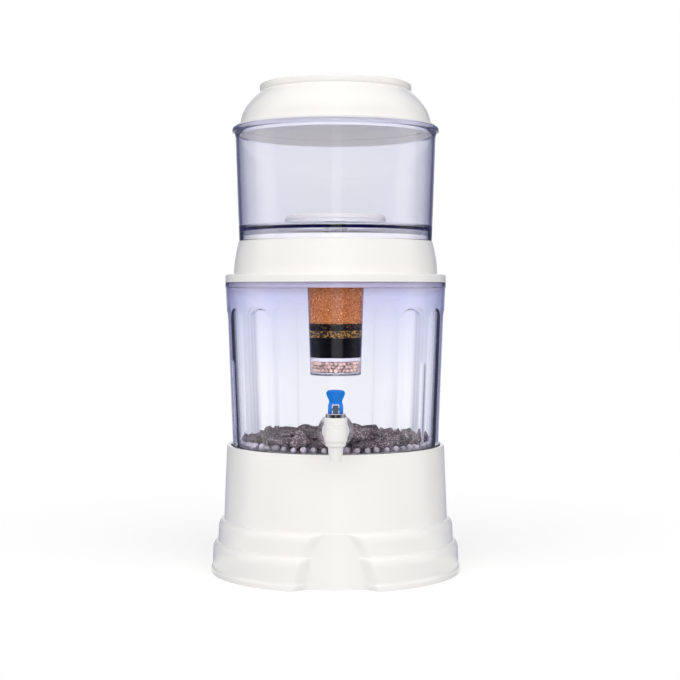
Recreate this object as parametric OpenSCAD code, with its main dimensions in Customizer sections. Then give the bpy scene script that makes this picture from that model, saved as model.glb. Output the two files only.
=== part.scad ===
// Gravity water filter with a push tap.
// Millimetres, +Z up. The origin is the centre of the foot on the floor, and the tap points to -Y.

/* [Base] */
// Height of the base up to its rim
base_h = 146; // [140:1:165]
// Wall thickness of the base
base_wall = 3; // [2:0.25:4]
// Width of the rolled rim at the top of the base
base_rim_w = 5; // [4:0.5:7]
// Depth of the ledge that carries the lower tank, below the rim
ledge_depth = 26; // [20:1:32]
// How much wider the drum is at its bottom than at its rim
drum_flare = 3.2; // [1:0.2:6]
// How far the upper step stands out from the drum
upper_step_w = 6.5; // [4:0.5:9]
// Height at which the upper step starts to round over
upper_step_h = 50; // [46:1:58]
// How far the lower step stands out from the upper one
lower_step_w = 6.5; // [4:0.5:9]
// Height at which the lower step starts to round over
lower_step_h = 24.5; // [20:0.5:30]
// Height of each rounded shoulder
shoulder_h = 11; // [8:0.5:13]
// How far the bead at the foot stands out
foot_bead = 2; // [1:0.25:3]
// Half width of the cup niche under its rounded top
niche_top_half_w = 22; // [18:1:28]
// Half width of the cup niche at the floor
niche_foot_half_w = 42; // [32:1:50]

/* [Lower tank] */
// Outer radius of the lower tank below its rim
tank_mouth_r = 127; // [120:1:136]
// How much narrower the lower tank is at its floor
tank_taper = 7; // [4:0.5:9]
// Height of the lower tank from its foot to its rim
tank_h = 212.6; // [205:0.2:235]
// Wall thickness of both tanks
tank_wall = 3; // [2.6:0.1:3.6]
// Height of the foot ring under the tank's floor
tank_foot_h = 22; // [16:1:24]
// Running gap between the tank and the base's collar
collar_gap = 0.9; // [0.5:0.1:1.5]
// Height of the rim band
rim_band_h = 6.4; // [5:0.2:9]
// How far the rim band stands out
rim_band_w = 0.6; // [0.3:0.1:1]
// Half angle of each flute, seen from the axis
flute_half_deg = 7.6; // [6:0.2:9]
// Height of the flute tops below the tank's rim
flute_top_drop = 29; // [22:1:40]

/* [Upper tank] */
// Outer radius of the upper tank at its skirt
upper_r = 111.4; // [106:0.2:114]
// How much wider the upper tank is below its rim
upper_flare = 4; // [2:0.5:6]
// Height of the upper tank from its skirt to its rim
upper_h = 130; // [115:1:160]
// Height of the skirt under the upper tank's floor
skirt_h = 11.5; // [11:0.5:16]
// How far the rolled rim stands out from the wall
roll_w = 3.8; // [2.5:0.1:5]

/* [Mid cover] */
// Height of the cover between the tanks
cover_h = 47.4; // [42:0.2:56]
// Wall thickness of the cover
cover_wall = 3; // [2.2:0.2:3.4]
// Height of the cover's flange
cover_flange_h = 8.4; // [7:0.2:12]
// Depth of the locating ring inside the tank's mouth
cover_ring_h = 10; // [6:1:14]
// Height of the ring that locates the upper tank
locate_ring_h = 6; // [4:0.5:8]
// Gap around each locating ring
locate_gap = 0.8; // [0.5:0.1:1.2]
// Gap between the cartridge's cap and the hole in the cover
cover_hole_gap = 3; // [2:0.5:6]

/* [Lid] */
// Height of the lid above the tank's rim
lid_h = 50; // [42:1:64]
// Wall thickness of the lid
lid_wall = 2.5; // [2:0.1:3.2]
// Height of the upright part of the lid
lid_upright_h = 19; // [14:1:22]
// Outer radius of the grip on top of the lid
grip_r = 87.5; // [80:0.5:92]
// Height of the grip
grip_h = 8; // [6:0.5:10]
// Depth of the recess inside the grip
grip_recess = 4; // [2:0.5:5]
// Depth of the ring inside the tank's mouth
lid_ring_h = 8; // [5:0.5:10]

/* [Prefilter] */
// Radius of the ceramic disc
disc_r = 57.5; // [50:0.5:62]
// Thickness of the ceramic disc
disc_t = 5; // [4:0.5:7]
// Height of the tray under the disc
tray_h = 8; // [6.5:0.5:11]
// Radius of the threaded outlet stem
stem_r = 7; // [6:0.25:8]
// Length of the outlet stem below the tank's floor
stem_drop = 23.5; // [21:0.5:28]
// Radius of the stem's nut, across its corners
stem_nut_r = 14; // [12:0.5:15]

/* [Cartridge] */
// Length of the cartridge's clear housing
cart_len = 119.4; // [105:0.2:125]
// Outer radius of the housing at its top
cart_top_r = 33.3; // [30:0.1:35]
// How much narrower the housing is at its bottom
cart_taper = 3.8; // [2:0.2:5]
// Wall thickness of the housing
cart_wall = 1.8; // [1.4:0.1:2.4]
// Height of the layer of mineral balls
ball_layer_h = 13; // [12.6:0.1:15]
// Height of the carbon layer
carbon_h = 23; // [16:0.5:28]
// Height of the speckled layer over the carbon
speckled_h = 8.3; // [5:0.1:11]
// Height of the layer of black granules
black_h = 8.3; // [5:0.1:11]

/* [Tap] */
// Height of the tap's axis above the tank's floor
tap_rise = 27; // [24:0.5:32]
// Distance from the tank's pad to the axis of the tap's barrel
tap_reach = 37.5; // [34:0.5:46]
// Outer radius of the barrel
barrel_r = 12.5; // [12.2:0.1:14]
// Radius of the valve chamber in the barrel
chamber_r = 9.5; // [9:0.1:9.8]
// Radius of the water way through the spout
spout_bore_r = 5.2; // [4.5:0.1:5.5]
// Length of the spout below the valve seat
spout_len = 19; // [16:0.5:26]
// Radius of the threaded shank through the tank's wall
shank_r = 8; // [7:0.25:9]
// Radius of the flange against the washer
tap_flange_r = 14.6; // [13:0.2:17]
// Radius of the clear washer between the flange and the tank
tap_washer_r = 18.8; // [17.2:0.2:20]
// Lift of the valve when the lever is pressed
valve_lift = 4; // [3:0.25:4.5]
// Angle through which the lever is pressed
press_deg = 50; // [40:1:55]
// Radius of the valve stem
valve_rod_r = 2.5; // [2.2:0.1:2.8]
// Width of the lever's clevis
clevis_w = 16; // [14:0.5:17]

/* [Contents] */
// Height of the tallest mineral stones
stone_h = 26; // [20:1:32]
// Radius of the widest mineral stones
stone_r = 12.4; // [10:0.2:12.8]
// Diameter of the loose mineral balls
ball_d = 8; // [6:0.5:8.5]

/* [Hidden] */
$fn = 96;

// Clearances
thread_gap = 0.05; // a nut or a socket around its thread
running_gap = 0.05; // a shaft in its bore
hole_gap = 0.5; // a hole through a wall around a shank
fill_gap = 0.15; // a filling inside its housing
cut = 1; // how far a cutter runs past the surface it cuts

// Heights along the axis, from the floor up
ledge_z = base_h - ledge_depth;
tank_floor_z = ledge_z + tank_foot_h + tank_wall;
tank_rim_z = ledge_z + tank_h;
band_z = tank_rim_z - rim_band_h;
cover_top_z = tank_rim_z + cover_h;
upper_floor_z = cover_top_z + skirt_h + tank_wall;
upper_rim_z = cover_top_z + upper_h;
total_h = upper_rim_z + lid_h;

// Radii of the lower tank and the base around it
tank_low_r = tank_mouth_r - tank_taper;
function tank_r(z) = tank_low_r + tank_taper * (z - tank_floor_z) / (band_z - tank_floor_z);
band_r = tank_mouth_r + rim_band_w;
tank_mouth_in_r = band_r - tank_wall - rim_band_w;
tank_foot_r = tank_low_r - 4;
collar_in_r = tank_r(base_h) + collar_gap;
drum_top_r = collar_in_r + base_rim_w;
drum_low_r = drum_top_r + drum_flare;
upper_step_r = drum_low_r + upper_step_w;
lower_step_r = upper_step_r + lower_step_w;
foot_r = lower_step_r + foot_bead;
step_draft = 0.5; // each step is this much wider at its bottom
deck_t = base_wall;

// Upper tank, cover and lid
upper_in_r = upper_r - tank_wall;
roll_r = upper_r + upper_flare + roll_w;
roll_h = 5;
upper_mouth_in_r = upper_r + upper_flare - tank_wall;
cover_top_r = upper_r + 0.6;
cover_waist_r = cover_top_r + 5.7;
locate_ring_r = upper_in_r - locate_gap;
mouth_ring_r = tank_mouth_in_r - locate_gap;
lid_flange_r = upper_mouth_in_r + 2.6;
lid_flange_t = lid_wall;
lid_r = upper_mouth_in_r - 2.8;
lid_ring_r = upper_mouth_in_r - locate_gap;

// Prefilter and the nut under the upper tank's floor
washer_t = 1.5;
stem_flange_t = 1.5;
stem_flange_r = 12.5;
stem_bore_r = 3.5;
stem_hole_r = stem_r + hole_gap;
stem_end_z = upper_floor_z - tank_wall - stem_drop;
stem_flange_z = upper_floor_z + washer_t;
tray_z = stem_flange_z + stem_flange_t;
tray_r = disc_r + 1.5;
tray_floor = 2.5;
disc_z = tray_z + tray_h;
nut_h = 6;
nut_z = upper_floor_z - tank_wall - washer_t - nut_h;

// Cartridge, hung on the stem under the nut
boss_gap = 1.5;
boss_top_z = nut_z - boss_gap;
boss_r = 12;
socket_depth = boss_top_z - stem_end_z + 2;
cap_dome_h = 17;
cap_skirt_h = 5;
cap_skirt_w = 2;
cap_wall = 2.5;
boss_h = 20;
seal_t = 1.5;
cap_plate_z = boss_top_z - boss_h - cap_dome_h;
cart_top_z = cap_plate_z - seal_t;
cart_bottom_z = cart_top_z - cart_len;
function cart_r(z) = cart_top_r - cart_taper * (cart_top_z - z) / cart_len;
cap_skirt_in_r = cart_top_r + 0.4;
cap_r = cap_skirt_in_r + cap_skirt_w;
cover_hole_r = cap_r + cover_hole_gap;
cart_floor_t = 2.4;
outlet_pad_t = 1;
pad_t = 4;
balls_z = cart_bottom_z + cart_floor_t + outlet_pad_t;
separator_z = balls_z + ball_layer_h;
carbon_z = separator_z + pad_t;
speckled_z = carbon_z + carbon_h;
black_z = speckled_z + speckled_h;
resin_z = black_z + black_h;
top_pad_z = cart_top_z - pad_t;

// Tap
tap_z = tank_floor_z + tap_rise;
pad_proud = 1.5;
pad_r = tap_washer_r + 0.6;
pad_y = -(tank_r(tap_z) + pad_proud);
pad_in_y = pad_y + tank_wall + 3.5;
tap_washer_t = 1.5;
tap_flange_t = 3;
flange_y = pad_y - tap_washer_t - tap_flange_t;
barrel_y = pad_y - tap_reach;
neck_r = 9;
water_bore_r = 4.5;
shank_out = 17; // length of the shank inside the tank
shank_hole_r = shank_r + hole_gap;
tap_nut_t = 8;
tap_nut_r = 15;
seat_z = tap_z - 9;
chamber_top_z = tap_z + 14.6;
collar_low_z = tap_z - 13;
spout_z = seat_z - spout_len;
groove_depth = 0.4;
groove_w = 0.6;
groove_pitch = 3;
collar_step = 1.7;
spout_tip_r = spout_bore_r + 1.7;
spout_top_r = spout_bore_r + 3;
cap_flange_t = 3;
cap_plug_h = 4;
cap_collar_r = 9.6;
cap_ring_r = 10.6;
cap_ring_h = 3.6;
cap_top_z = chamber_top_z + cap_flange_t + cap_ring_h + 0.3;
plunger_r = chamber_r - 1;
plunger_h = 6.5;
rod_socket = 2; // thickness of rubber under the valve stem
spring_r = 5.5;
spring_wire_r = 0.45;
spring_turns = 5;

// Lever and its cam, which rides on the tap's cap
pivot_rise = 4.5;
pivot_z = cap_top_z + pivot_rise;
pin_r = 1.25;
head_w = 6;
head_top = 4;
slot_w = head_w + 1.3;
slot_top = 5.7;
cam_gap = 0.15;
cam_rate = valve_lift / (press_deg * PI / 180); // rise in mm for each radian of turn
function cam_rise(a) = pivot_rise - cam_gap + cam_rate * a * PI / 180;
function cam_point(a) = [
    -cam_rise(a) * sin(a) - cam_rate * cos(a),
    -cam_rise(a) * cos(a) + cam_rate * sin(a)
];

// Points of a rounded shoulder from radius r1 at height z1 to radius r2 at height z2
function shoulder(r1, z1, r2, z2) =
    [for (i = [0:6]) let (a = i * 15) [r2 + (r1 - r2) * cos(a), z1 + (z2 - z1) * sin(a)]];

// A rod of radius r along Y from y0 to y1, at height z
module rod_y(y0, y1, r, z) {
    translate([0, y0, z]) rotate([-90, 0, 0]) cylinder(h = y1 - y0, r = r);
}

// A ring or disc of outer radius r, bored to bore, from z0 to z1
module ring(r, bore, z0, z1) {
    translate([0, 0, z0])
        difference() {
            cylinder(h = z1 - z0, r = r);
            translate([0, 0, -cut]) cylinder(h = z1 - z0 + 2 * cut, r = bore);
        }
}

// A filling between z0 and z1 that follows the cartridge's tapered inside
module cart_fill(z0, z1) {
    translate([0, 0, z0])
        cylinder(
            h = z1 - z0,
            r1 = cart_r(z0) - cart_wall - fill_gap,
            r2 = cart_r(z1) - cart_wall - fill_gap
        );
}

// ---------------------------------------------------------------- base

niche_top_z = upper_step_h + shoulder_h + 2.5;
niche_round_h = 12; // height of the rounded top of the niche

// Half of the niche's bell-shaped outline from the floor to its top, moved out by t
function niche_half(t) = let (bell_h = niche_top_z - niche_round_h) concat(
    [[niche_foot_half_w + t, -2 * cut]],
    [for (i = [0:6]) let (f = i / 6)
        [niche_top_half_w + (niche_foot_half_w - niche_top_half_w) * pow(1 - f, 1.2) + t,
            bell_h * f]],
    [for (a = [22.5:22.5:90])
        [(niche_top_half_w + t) * cos(a), bell_h + (niche_round_h + t) * sin(a)]]
);

// What the cup niche takes out of the steps in front of the drum
module niche(t) {
    half = niche_half(t);
    outline = concat(half, [for (i = [len(half) - 2:-1:0]) [-half[i][0], half[i][1]]]);
    difference() {
        rotate([90, 0, 0]) linear_extrude(foot_r + 20) polygon(outline);
        translate([0, 0, -3 * cut]) cylinder(h = base_h, r = drum_low_r + 0.4 - t);
    }
}

// The stepped outside of the base, inset by t
module base_solid(t, top) {
    rotate_extrude()
        polygon(concat(
            [[0, -(t > 0 ? cut : 0)], [foot_r - t, -(t > 0 ? cut : 0)], [foot_r - t, 5]],
            [[lower_step_r + step_draft - t, 7.5]],
            shoulder(lower_step_r - t, lower_step_h - t, upper_step_r + step_draft - t,
                lower_step_h + shoulder_h - t),
            shoulder(upper_step_r - t, upper_step_h - t, drum_low_r - t,
                upper_step_h + shoulder_h - t),
            t > 0
                ? [[drum_top_r - t, top], [0, top]]
                : concat(
                    [[drum_top_r, base_h - 3]],
                    [for (a = [30:30:90])
                        [drum_top_r - 3 + 3 * cos(a), base_h - 3 + 3 * sin(a)]],
                    [[0, base_h]]
                )
        ));
}

// The same solid with the cup niche taken out, its walls moved in by t
module base_niched(t, top) {
    difference() {
        base_solid(t, top);
        niche(t);
    }
}

module base_shell() {
    color("snow")
        difference() {
            base_niched(0, base_h);
            base_niched(base_wall, ledge_z - deck_t);
            translate([0, 0, ledge_z]) cylinder(h = base_h, r = collar_in_r);
        }
}

// ---------------------------------------------------------------- lower tank

// A band of half width w and height h with rounded upper corners of radius r
module arch(w, h, r) {
    translate([-w, 0]) square([2 * w, h - r]);
    translate([-(w - r), 0]) square([2 * (w - r), h]);
    for (side = [-1, 1]) translate([side * (w - r), h - r]) circle(r = r);
}

// The plane of the tank's wall at height z, seen from outside, turned about the axis
module on_wall(turn, z, inset) {
    tilt = atan(tank_taper / (band_z - tank_floor_z));
    rotate([0, 0, turn])
        translate([0, -(tank_r(z) - inset), z])
            rotate([90 + tilt, 0, 0])
                children();
}

// A tall flute is a flat with an arched top
module flute_cutter(turn) {
    half_w = tank_r(flute_top_z) * sin(flute_half_deg);
    on_wall(turn, flute_low_z, tank_r(flute_low_z) * (1 - cos(flute_half_deg)))
        linear_extrude(10) arch(half_w, flute_top_z - flute_low_z, half_w - 0.5);
}

// A short flute is a narrow groove with a ball end
module short_flute_cutter(turn) {
    on_wall(turn, flute_low_z, short_flute_depth)
        translate([0, 0, short_flute_r])
            rotate([-90, 0, 0]) {
                cylinder(h = short_flute_top_z - short_flute_r - flute_low_z, r = short_flute_r);
                translate([0, 0, short_flute_top_z - short_flute_r - flute_low_z])
                    sphere(r = short_flute_r);
            }
}

// The shallow panel at the back lies the same depth below the wall all over
module panel_cutter() {
    rotate([0, 0, 90 - panel_half_deg])
        rotate_extrude(angle = 2 * panel_half_deg)
            polygon([
                [tank_r(panel_low_z) - panel_depth, panel_low_z], [band_r + cut, panel_low_z],
                [band_r + cut, panel_top_z], [tank_r(panel_top_z) - panel_depth, panel_top_z]
            ]);
}

flute_pitch_deg = 21.5;
flute_first_deg = 41;
flute_angles = [for (side = [-1, 1]) for (i = [0:5]) side * (flute_first_deg + flute_pitch_deg * i)];
flute_low_z = tank_floor_z;
flute_top_z = tank_rim_z - flute_top_drop;
short_flute_angles = [ // each is half a pitch from a tall one
    -(flute_first_deg + 1.5 * flute_pitch_deg),
    -(flute_first_deg - 0.5 * flute_pitch_deg),
    flute_first_deg + 0.5 * flute_pitch_deg
];
short_flute_top_z = tank_floor_z + 0.58 * (tank_rim_z - tank_floor_z);
short_flute_r = 14;
short_flute_depth = 1;
panel_half_deg = 23;
panel_depth = 1;
panel_low_z = flute_low_z + 0.5;
panel_top_z = flute_top_z - 2;

module lower_tank() {
    color("lavender", 0.5)
        difference() {
            union() {
                rotate_extrude()
                    polygon(concat(
                        [[0, tank_floor_z - tank_wall], [tank_foot_r - tank_wall,
                            tank_floor_z - tank_wall]],
                        [[tank_foot_r - tank_wall, ledge_z], [tank_foot_r, ledge_z]],
                        [[tank_foot_r, tank_floor_z - 5]],
                        [for (a = [-60:30:0]) [tank_foot_r + 4 * cos(a), tank_floor_z + 4 * sin(a)]],
                        [[tank_mouth_r, band_z], [band_r, band_z + 0.6], [band_r, tank_rim_z]],
                        [[tank_mouth_in_r, tank_rim_z]],
                        [for (a = [0:-30:-90])
                            [tank_low_r - tank_wall - 6 + 6 * cos(a), tank_floor_z + 6 + 6 * sin(a)]],
                        [[0, tank_floor_z]]
                    ));
                rod_y(pad_y, pad_in_y, pad_r, tap_z);
            }
            for (turn = flute_angles) flute_cutter(turn);
            for (turn = short_flute_angles) short_flute_cutter(turn);
            panel_cutter();
            rod_y(pad_y - cut, pad_in_y + cut, shank_hole_r, tap_z);
        }
}

// ---------------------------------------------------------------- contents of the lower tank

stone_rings = [0.141, 0.382, 0.69, 1]; // radius of each ring, as a share of the outer one's
stone_out_r = tank_low_r - tank_wall - 5 - ball_d - stone_r - 3;
stone_gap = 0.5;
stone_sides = 7;

// One stone: a star-shaped body with a flat bottom, of radius r and height h
module stone(r, h, seed) {
    low = rands(0.62, 0.86, stone_sides, seed);
    mid = rands(0.78, 1, stone_sides, seed + 1);
    high = rands(0.3, 0.62, stone_sides, seed + 2);
    n = stone_sides;
    points = [
        for (row = [[low, 0], [mid, 0.42], [high, 1]]) for (i = [0:n - 1])
            [r * row[0][i] * cos(i * 360 / n), r * row[0][i] * sin(i * 360 / n),
                h * row[1] * (row[1] == 0.42 ? 0.8 + 0.4 * mid[i] : 1)]
    ];
    faces = concat(
        [[for (i = [0:n - 1]) i]],
        [for (row = [0:1]) for (i = [0:n - 1]) let (j = (i + 1) % n)
            [row * n + i, (row + 1) * n + i, row * n + j]],
        [for (row = [0:1]) for (i = [0:n - 1]) let (j = (i + 1) % n)
            [(row + 1) * n + i, (row + 1) * n + j, row * n + j]],
        [[for (i = [n - 1:-1:0]) 2 * n + i]]
    );
    polyhedron(points, faces, convexity = 2);
}

module mineral_stones() {
    color("dimgray")
        for (k = [0:len(stone_rings) - 1]) {
            ring_r = stone_out_r * stone_rings[k];
            count = floor(2 * PI * ring_r / (2 * stone_r + stone_gap));
            sizes = rands(0.8, 1, count, 40 + k);
            heights = rands(0.5, 1, count, 60 + k);
            for (i = [0:count - 1])
                rotate([0, 0, (i + 0.3 * k) * 360 / count])
                    translate([ring_r, 0, tank_floor_z])
                        rotate([0, 0, 97 * i])
                            stone(stone_r * sizes[i], stone_h * heights[i], 100 * k + i);
        }
}

module mineral_balls() {
    ring_r = tank_low_r - tank_wall - 5 - ball_d / 2;
    count = 58;
    color("thistle")
        for (i = [0:count - 1])
            rotate([0, 0, i * 360 / count])
                translate([0, -ring_r, tank_floor_z + ball_d / 2])
                    sphere(d = ball_d, $fn = 24);
}

// ---------------------------------------------------------------- tap

// The barrel with its fine grooves, the collar under it and the spout, still solid
module tap_barrel() {
    difference() {
        translate([0, 0, tap_z - 7]) cylinder(h = chamber_top_z - tap_z + 7, r = barrel_r);
        for (i = [0:2])
            ring(barrel_r + cut, barrel_r - groove_depth, chamber_top_z - groove_pitch * (i + 1),
                chamber_top_z - groove_pitch * (i + 1) + groove_w);
    }
    translate([0, 0, collar_low_z])
        cylinder(h = tap_z - 6 - collar_low_z, r = barrel_r - collar_step);
    translate([0, 0, spout_z])
        cylinder(h = collar_low_z - spout_z + cut, r1 = spout_tip_r, r2 = spout_top_r);
}

module tap_body() {
    color("whitesmoke")
        difference() {
            union() {
                rod_y(flange_y, flange_y + tap_flange_t, tap_flange_r, tap_z);
                rod_y(barrel_y, flange_y + cut, neck_r, tap_z);
                rod_y(flange_y + tap_flange_t - cut, pad_in_y + shank_out, shank_r, tap_z);
                translate([0, barrel_y, 0]) tap_barrel();
            }
            translate([0, barrel_y, 0]) {
                translate([0, 0, seat_z]) cylinder(h = chamber_top_z, r = chamber_r);
                translate([0, 0, spout_z - cut]) cylinder(h = 2 * spout_len, r = spout_bore_r);
            }
            rod_y(barrel_y, pad_in_y + shank_out + cut, water_bore_r, tap_z);
        }
}

module tap_outer_washer() {
    color("gainsboro")
        difference() {
            rod_y(pad_y - tap_washer_t, pad_y, tap_washer_r, tap_z);
            rod_y(pad_y - 2 * tap_washer_t, pad_y + cut, shank_r + thread_gap, tap_z);
        }
}

module tap_inner_washer() {
    color("gainsboro")
        difference() {
            rod_y(pad_in_y, pad_in_y + tap_washer_t, pad_r - 2.5, tap_z);
            rod_y(pad_in_y - cut, pad_in_y + 2 * tap_washer_t, shank_r + thread_gap, tap_z);
        }
}

module tap_nut() {
    nut_y = pad_in_y + tap_washer_t;
    color("whitesmoke")
        difference() {
            translate([0, nut_y, tap_z]) rotate([-90, 0, 0])
                cylinder(h = tap_nut_t, r = tap_nut_r, $fn = 6);
            rod_y(nut_y - cut, nut_y + tap_nut_t + cut, shank_r + thread_gap, tap_z);
        }
}

module tap_cap() {
    color("whitesmoke")
        translate([0, barrel_y, 0])
            difference() {
                union() {
                    translate([0, 0, chamber_top_z])
                        cylinder(h = cap_flange_t, r = barrel_r - 0.3);
                    translate([0, 0, chamber_top_z - cap_plug_h])
                        cylinder(h = cap_plug_h + cut, r = chamber_r - thread_gap);
                    translate([0, 0, chamber_top_z])
                        cylinder(h = cap_top_z - chamber_top_z, r = cap_collar_r);
                }
                translate([0, 0, chamber_top_z - cap_plug_h - cut])
                    cylinder(h = cap_top_z, r = valve_rod_r + running_gap);
            }
}

module cap_ring() {
    ring_z = chamber_top_z + cap_flange_t;
    color("silver")
        translate([0, barrel_y, 0])
            ring(cap_ring_r, cap_collar_r + running_gap, ring_z, ring_z + cap_ring_h);
}

module valve_stem() {
    rod_z = seat_z + rod_socket;
    head_z = cap_top_z + 1;
    color("gray")
        translate([0, barrel_y, 0])
            difference() {
                union() {
                    translate([0, 0, rod_z]) cylinder(h = pivot_z - rod_z, r = valve_rod_r);
                    translate([-head_w / 2, -head_w / 2, head_z])
                        cube([head_w, head_w, pivot_z + head_top - head_z]);
                }
                translate([-head_w, 0, pivot_z]) rotate([0, 90, 0])
                    cylinder(h = 2 * head_w, r = pin_r + running_gap / 2);
            }
}

module valve_plunger() {
    color("dimgray")
        translate([0, barrel_y, 0])
            difference() {
                translate([0, 0, seat_z]) cylinder(h = plunger_h, r = plunger_r);
                translate([0, 0, seat_z + rod_socket])
                    cylinder(h = plunger_h, r = valve_rod_r + running_gap);
            }
}

// A coil of wire as one closed tube between two heights
module valve_spring() {
    low_z = seat_z + plunger_h + spring_wire_r + 0.05;
    high_z = chamber_top_z - cap_plug_h - spring_wire_r - 0.05;
    steps = 20 * spring_turns;
    sides = 6;
    rings = [
        for (i = [0:steps]) let (a = i * 360 * spring_turns / steps, z = low_z
            + (high_z - low_z) * i / steps)
            [for (k = [0:sides - 1]) let (b = k * 360 / sides, r = spring_r
                + spring_wire_r * cos(b))
                [r * cos(a), r * sin(a), z + spring_wire_r * sin(b)]]
    ];
    points = [for (row = rings) for (p = row) p];
    faces = concat(
        [[for (k = [0:sides - 1]) k]],
        [for (i = [0:steps - 1]) for (k = [0:sides - 1]) let (m = (k + 1) % sides)
            [i * sides + k, (i + 1) * sides + k, i * sides + m]],
        [for (i = [0:steps - 1]) for (k = [0:sides - 1]) let (m = (k + 1) % sides)
            [(i + 1) * sides + k, (i + 1) * sides + m, i * sides + m]],
        [[for (k = [sides - 1:-1:0]) steps * sides + k]]
    );
    color("silver") translate([0, barrel_y, 0]) polyhedron(points, faces, convexity = 8);
}

module lever_pin() {
    color("silver")
        translate([-clevis_w / 2, barrel_y, pivot_z]) rotate([0, 90, 0])
            cylinder(h = clevis_w, r = pin_r);
}

// The lever is the part common to its side view and its front view
module tap_lever() {
    side = concat(
        [[6, -pivot_rise + cam_gap]],
        [for (i = [0:6]) cam_point(i * press_deg / 6)],
        [[-10.3, 0.5], [-9.3, 4.5], [-7.2, 7], [-11.8, 19.5], [-11.3, 21]],
        [[-9.2, 21.4], [-7.6, 20.4], [-3.4, 9.2], [3, 7.4], [5.4, 5], [6, 1]]
    );
    half_front = [
        [clevis_w / 2, -pivot_rise], [clevis_w / 2, 5], [7, 6.5], [6.85, 9], [8, 12.5],
        [9.5, 15.5], [9.8, 17.5], [9, 19.8], [6, 21], [0, 21.4]
    ];
    front = concat(
        half_front,
        [for (i = [len(half_front) - 2:-1:0]) [-half_front[i][0], half_front[i][1]]]
    );
    color("dodgerblue")
        translate([0, barrel_y, pivot_z])
            difference() {
                intersection() {
                    rotate([90, 0, 90]) translate([0, 0, -clevis_w])
                        linear_extrude(2 * clevis_w) polygon(side);
                    rotate([90, 0, 0]) translate([0, 0, -clevis_w])
                        linear_extrude(2 * clevis_w) polygon(front);
                }
                translate([-slot_w / 2, -clevis_w, -clevis_w])
                    cube([slot_w, 2 * clevis_w, clevis_w + slot_top]);
                translate([-clevis_w, 0, 0]) rotate([0, 90, 0])
                    cylinder(h = 2 * clevis_w, r = pin_r + running_gap);
            }
}

// ---------------------------------------------------------------- cover between the tanks

module mid_cover() {
    flange_z = tank_rim_z + cover_flange_h;
    w = cover_wall;
    waist_h = 6;
    color("snow")
        rotate_extrude()
            polygon(concat(
                [[band_r, tank_rim_z], [band_r, flange_z - 1], [band_r - 1, flange_z]],
                [[cover_waist_r, flange_z]],
                [for (a = [0:15:90])
                    [cover_top_r + 0.6 + (cover_waist_r - cover_top_r - 0.6) * (1 - sin(a)),
                        flange_z + waist_h + 22 * (1 - cos(a))]],
                [[cover_top_r, cover_top_z - 1], [cover_top_r - 1, cover_top_z]],
                [[locate_ring_r, cover_top_z], [locate_ring_r, cover_top_z + locate_ring_h]],
                [[locate_ring_r - w, cover_top_z + locate_ring_h], [locate_ring_r - w, cover_top_z]],
                [[cover_hole_r, cover_top_z], [cover_hole_r, cover_top_z - w]],
                [[cover_top_r - w, cover_top_z - w]],
                [for (a = [90:-15:0])
                    [cover_top_r + 0.6 + (cover_waist_r - cover_top_r - 0.6) * (1 - sin(a)) - w,
                        flange_z + waist_h + 22 * (1 - cos(a))]],
                [[cover_waist_r - w, flange_z - w]],
                [[mouth_ring_r - 2.5, flange_z - w], [mouth_ring_r - 2.5,
                    tank_rim_z - cover_ring_h]],
                [[mouth_ring_r, tank_rim_z - cover_ring_h], [mouth_ring_r, flange_z - w]],
                [[band_r - w, flange_z - w], [band_r - w, tank_rim_z]]
            ));
}

// ---------------------------------------------------------------- upper tank

module upper_tank() {
    floor_low = upper_floor_z - tank_wall;
    wall_top = upper_rim_z - 2 * roll_h;
    wall_r = upper_r + upper_flare;
    color("lavender", 0.5)
        difference() {
            rotate_extrude()
                polygon(concat(
                    [[0, floor_low], [upper_in_r, floor_low], [upper_in_r, cover_top_z]],
                    [[upper_r, cover_top_z], [wall_r, wall_top]],
                    [[wall_r + 1.2, wall_top + 4], [roll_r, upper_rim_z - roll_h]],
                    [[roll_r, upper_rim_z - 1.2], [roll_r - 1.2, upper_rim_z]],
                    [[upper_mouth_in_r, upper_rim_z], [upper_mouth_in_r, wall_top]],
                    [for (a = [0:-30:-90])
                        [upper_in_r - 3 + 3 * cos(a), upper_floor_z + 3 + 3 * sin(a)]],
                    [[0, upper_floor_z]]
                ));
            translate([0, 0, floor_low - cut])
                cylinder(h = tank_wall + 2 * cut, r = stem_hole_r);
        }
}

// ---------------------------------------------------------------- ceramic prefilter

module prefilter_stem() {
    color("darkgray")
        difference() {
            union() {
                translate([0, 0, stem_end_z])
                    cylinder(h = stem_flange_z - stem_end_z + stem_flange_t, r = stem_r);
                translate([0, 0, stem_flange_z])
                    cylinder(h = stem_flange_t, r = stem_flange_r);
            }
            translate([0, 0, stem_end_z - cut])
                cylinder(h = tray_z - stem_end_z + 2 * cut, r = stem_bore_r);
        }
}

module prefilter_washer() {
    color("gray")
        ring(stem_flange_r + 0.5, stem_r + thread_gap, upper_floor_z, stem_flange_z);
}

module prefilter_tray() {
    color("ivory")
        difference() {
            translate([0, 0, tray_z]) cylinder(h = tray_h, r = tray_r);
            translate([0, 0, tray_z + tray_floor]) cylinder(h = tray_h, r = disc_r - 2.5);
            translate([0, 0, tray_z - cut]) cylinder(h = tray_h, r = stem_bore_r);
            ring(tray_r + cut, tray_r - 0.8, tray_z + tray_h - 1.6, tray_z + tray_h - 0.8);
        }
}

module ceramic_disc() {
    color("white")
        translate([0, 0, disc_z])
            rotate_extrude()
                polygon([
                    [0, 0], [disc_r, 0], [disc_r, disc_t - 1], [disc_r - 1, disc_t], [0, disc_t]
                ]);
}

module floor_washer() {
    z = upper_floor_z - tank_wall - washer_t;
    color("gray") ring(stem_flange_r + 0.5, stem_r + thread_gap, z, z + washer_t);
}

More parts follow.
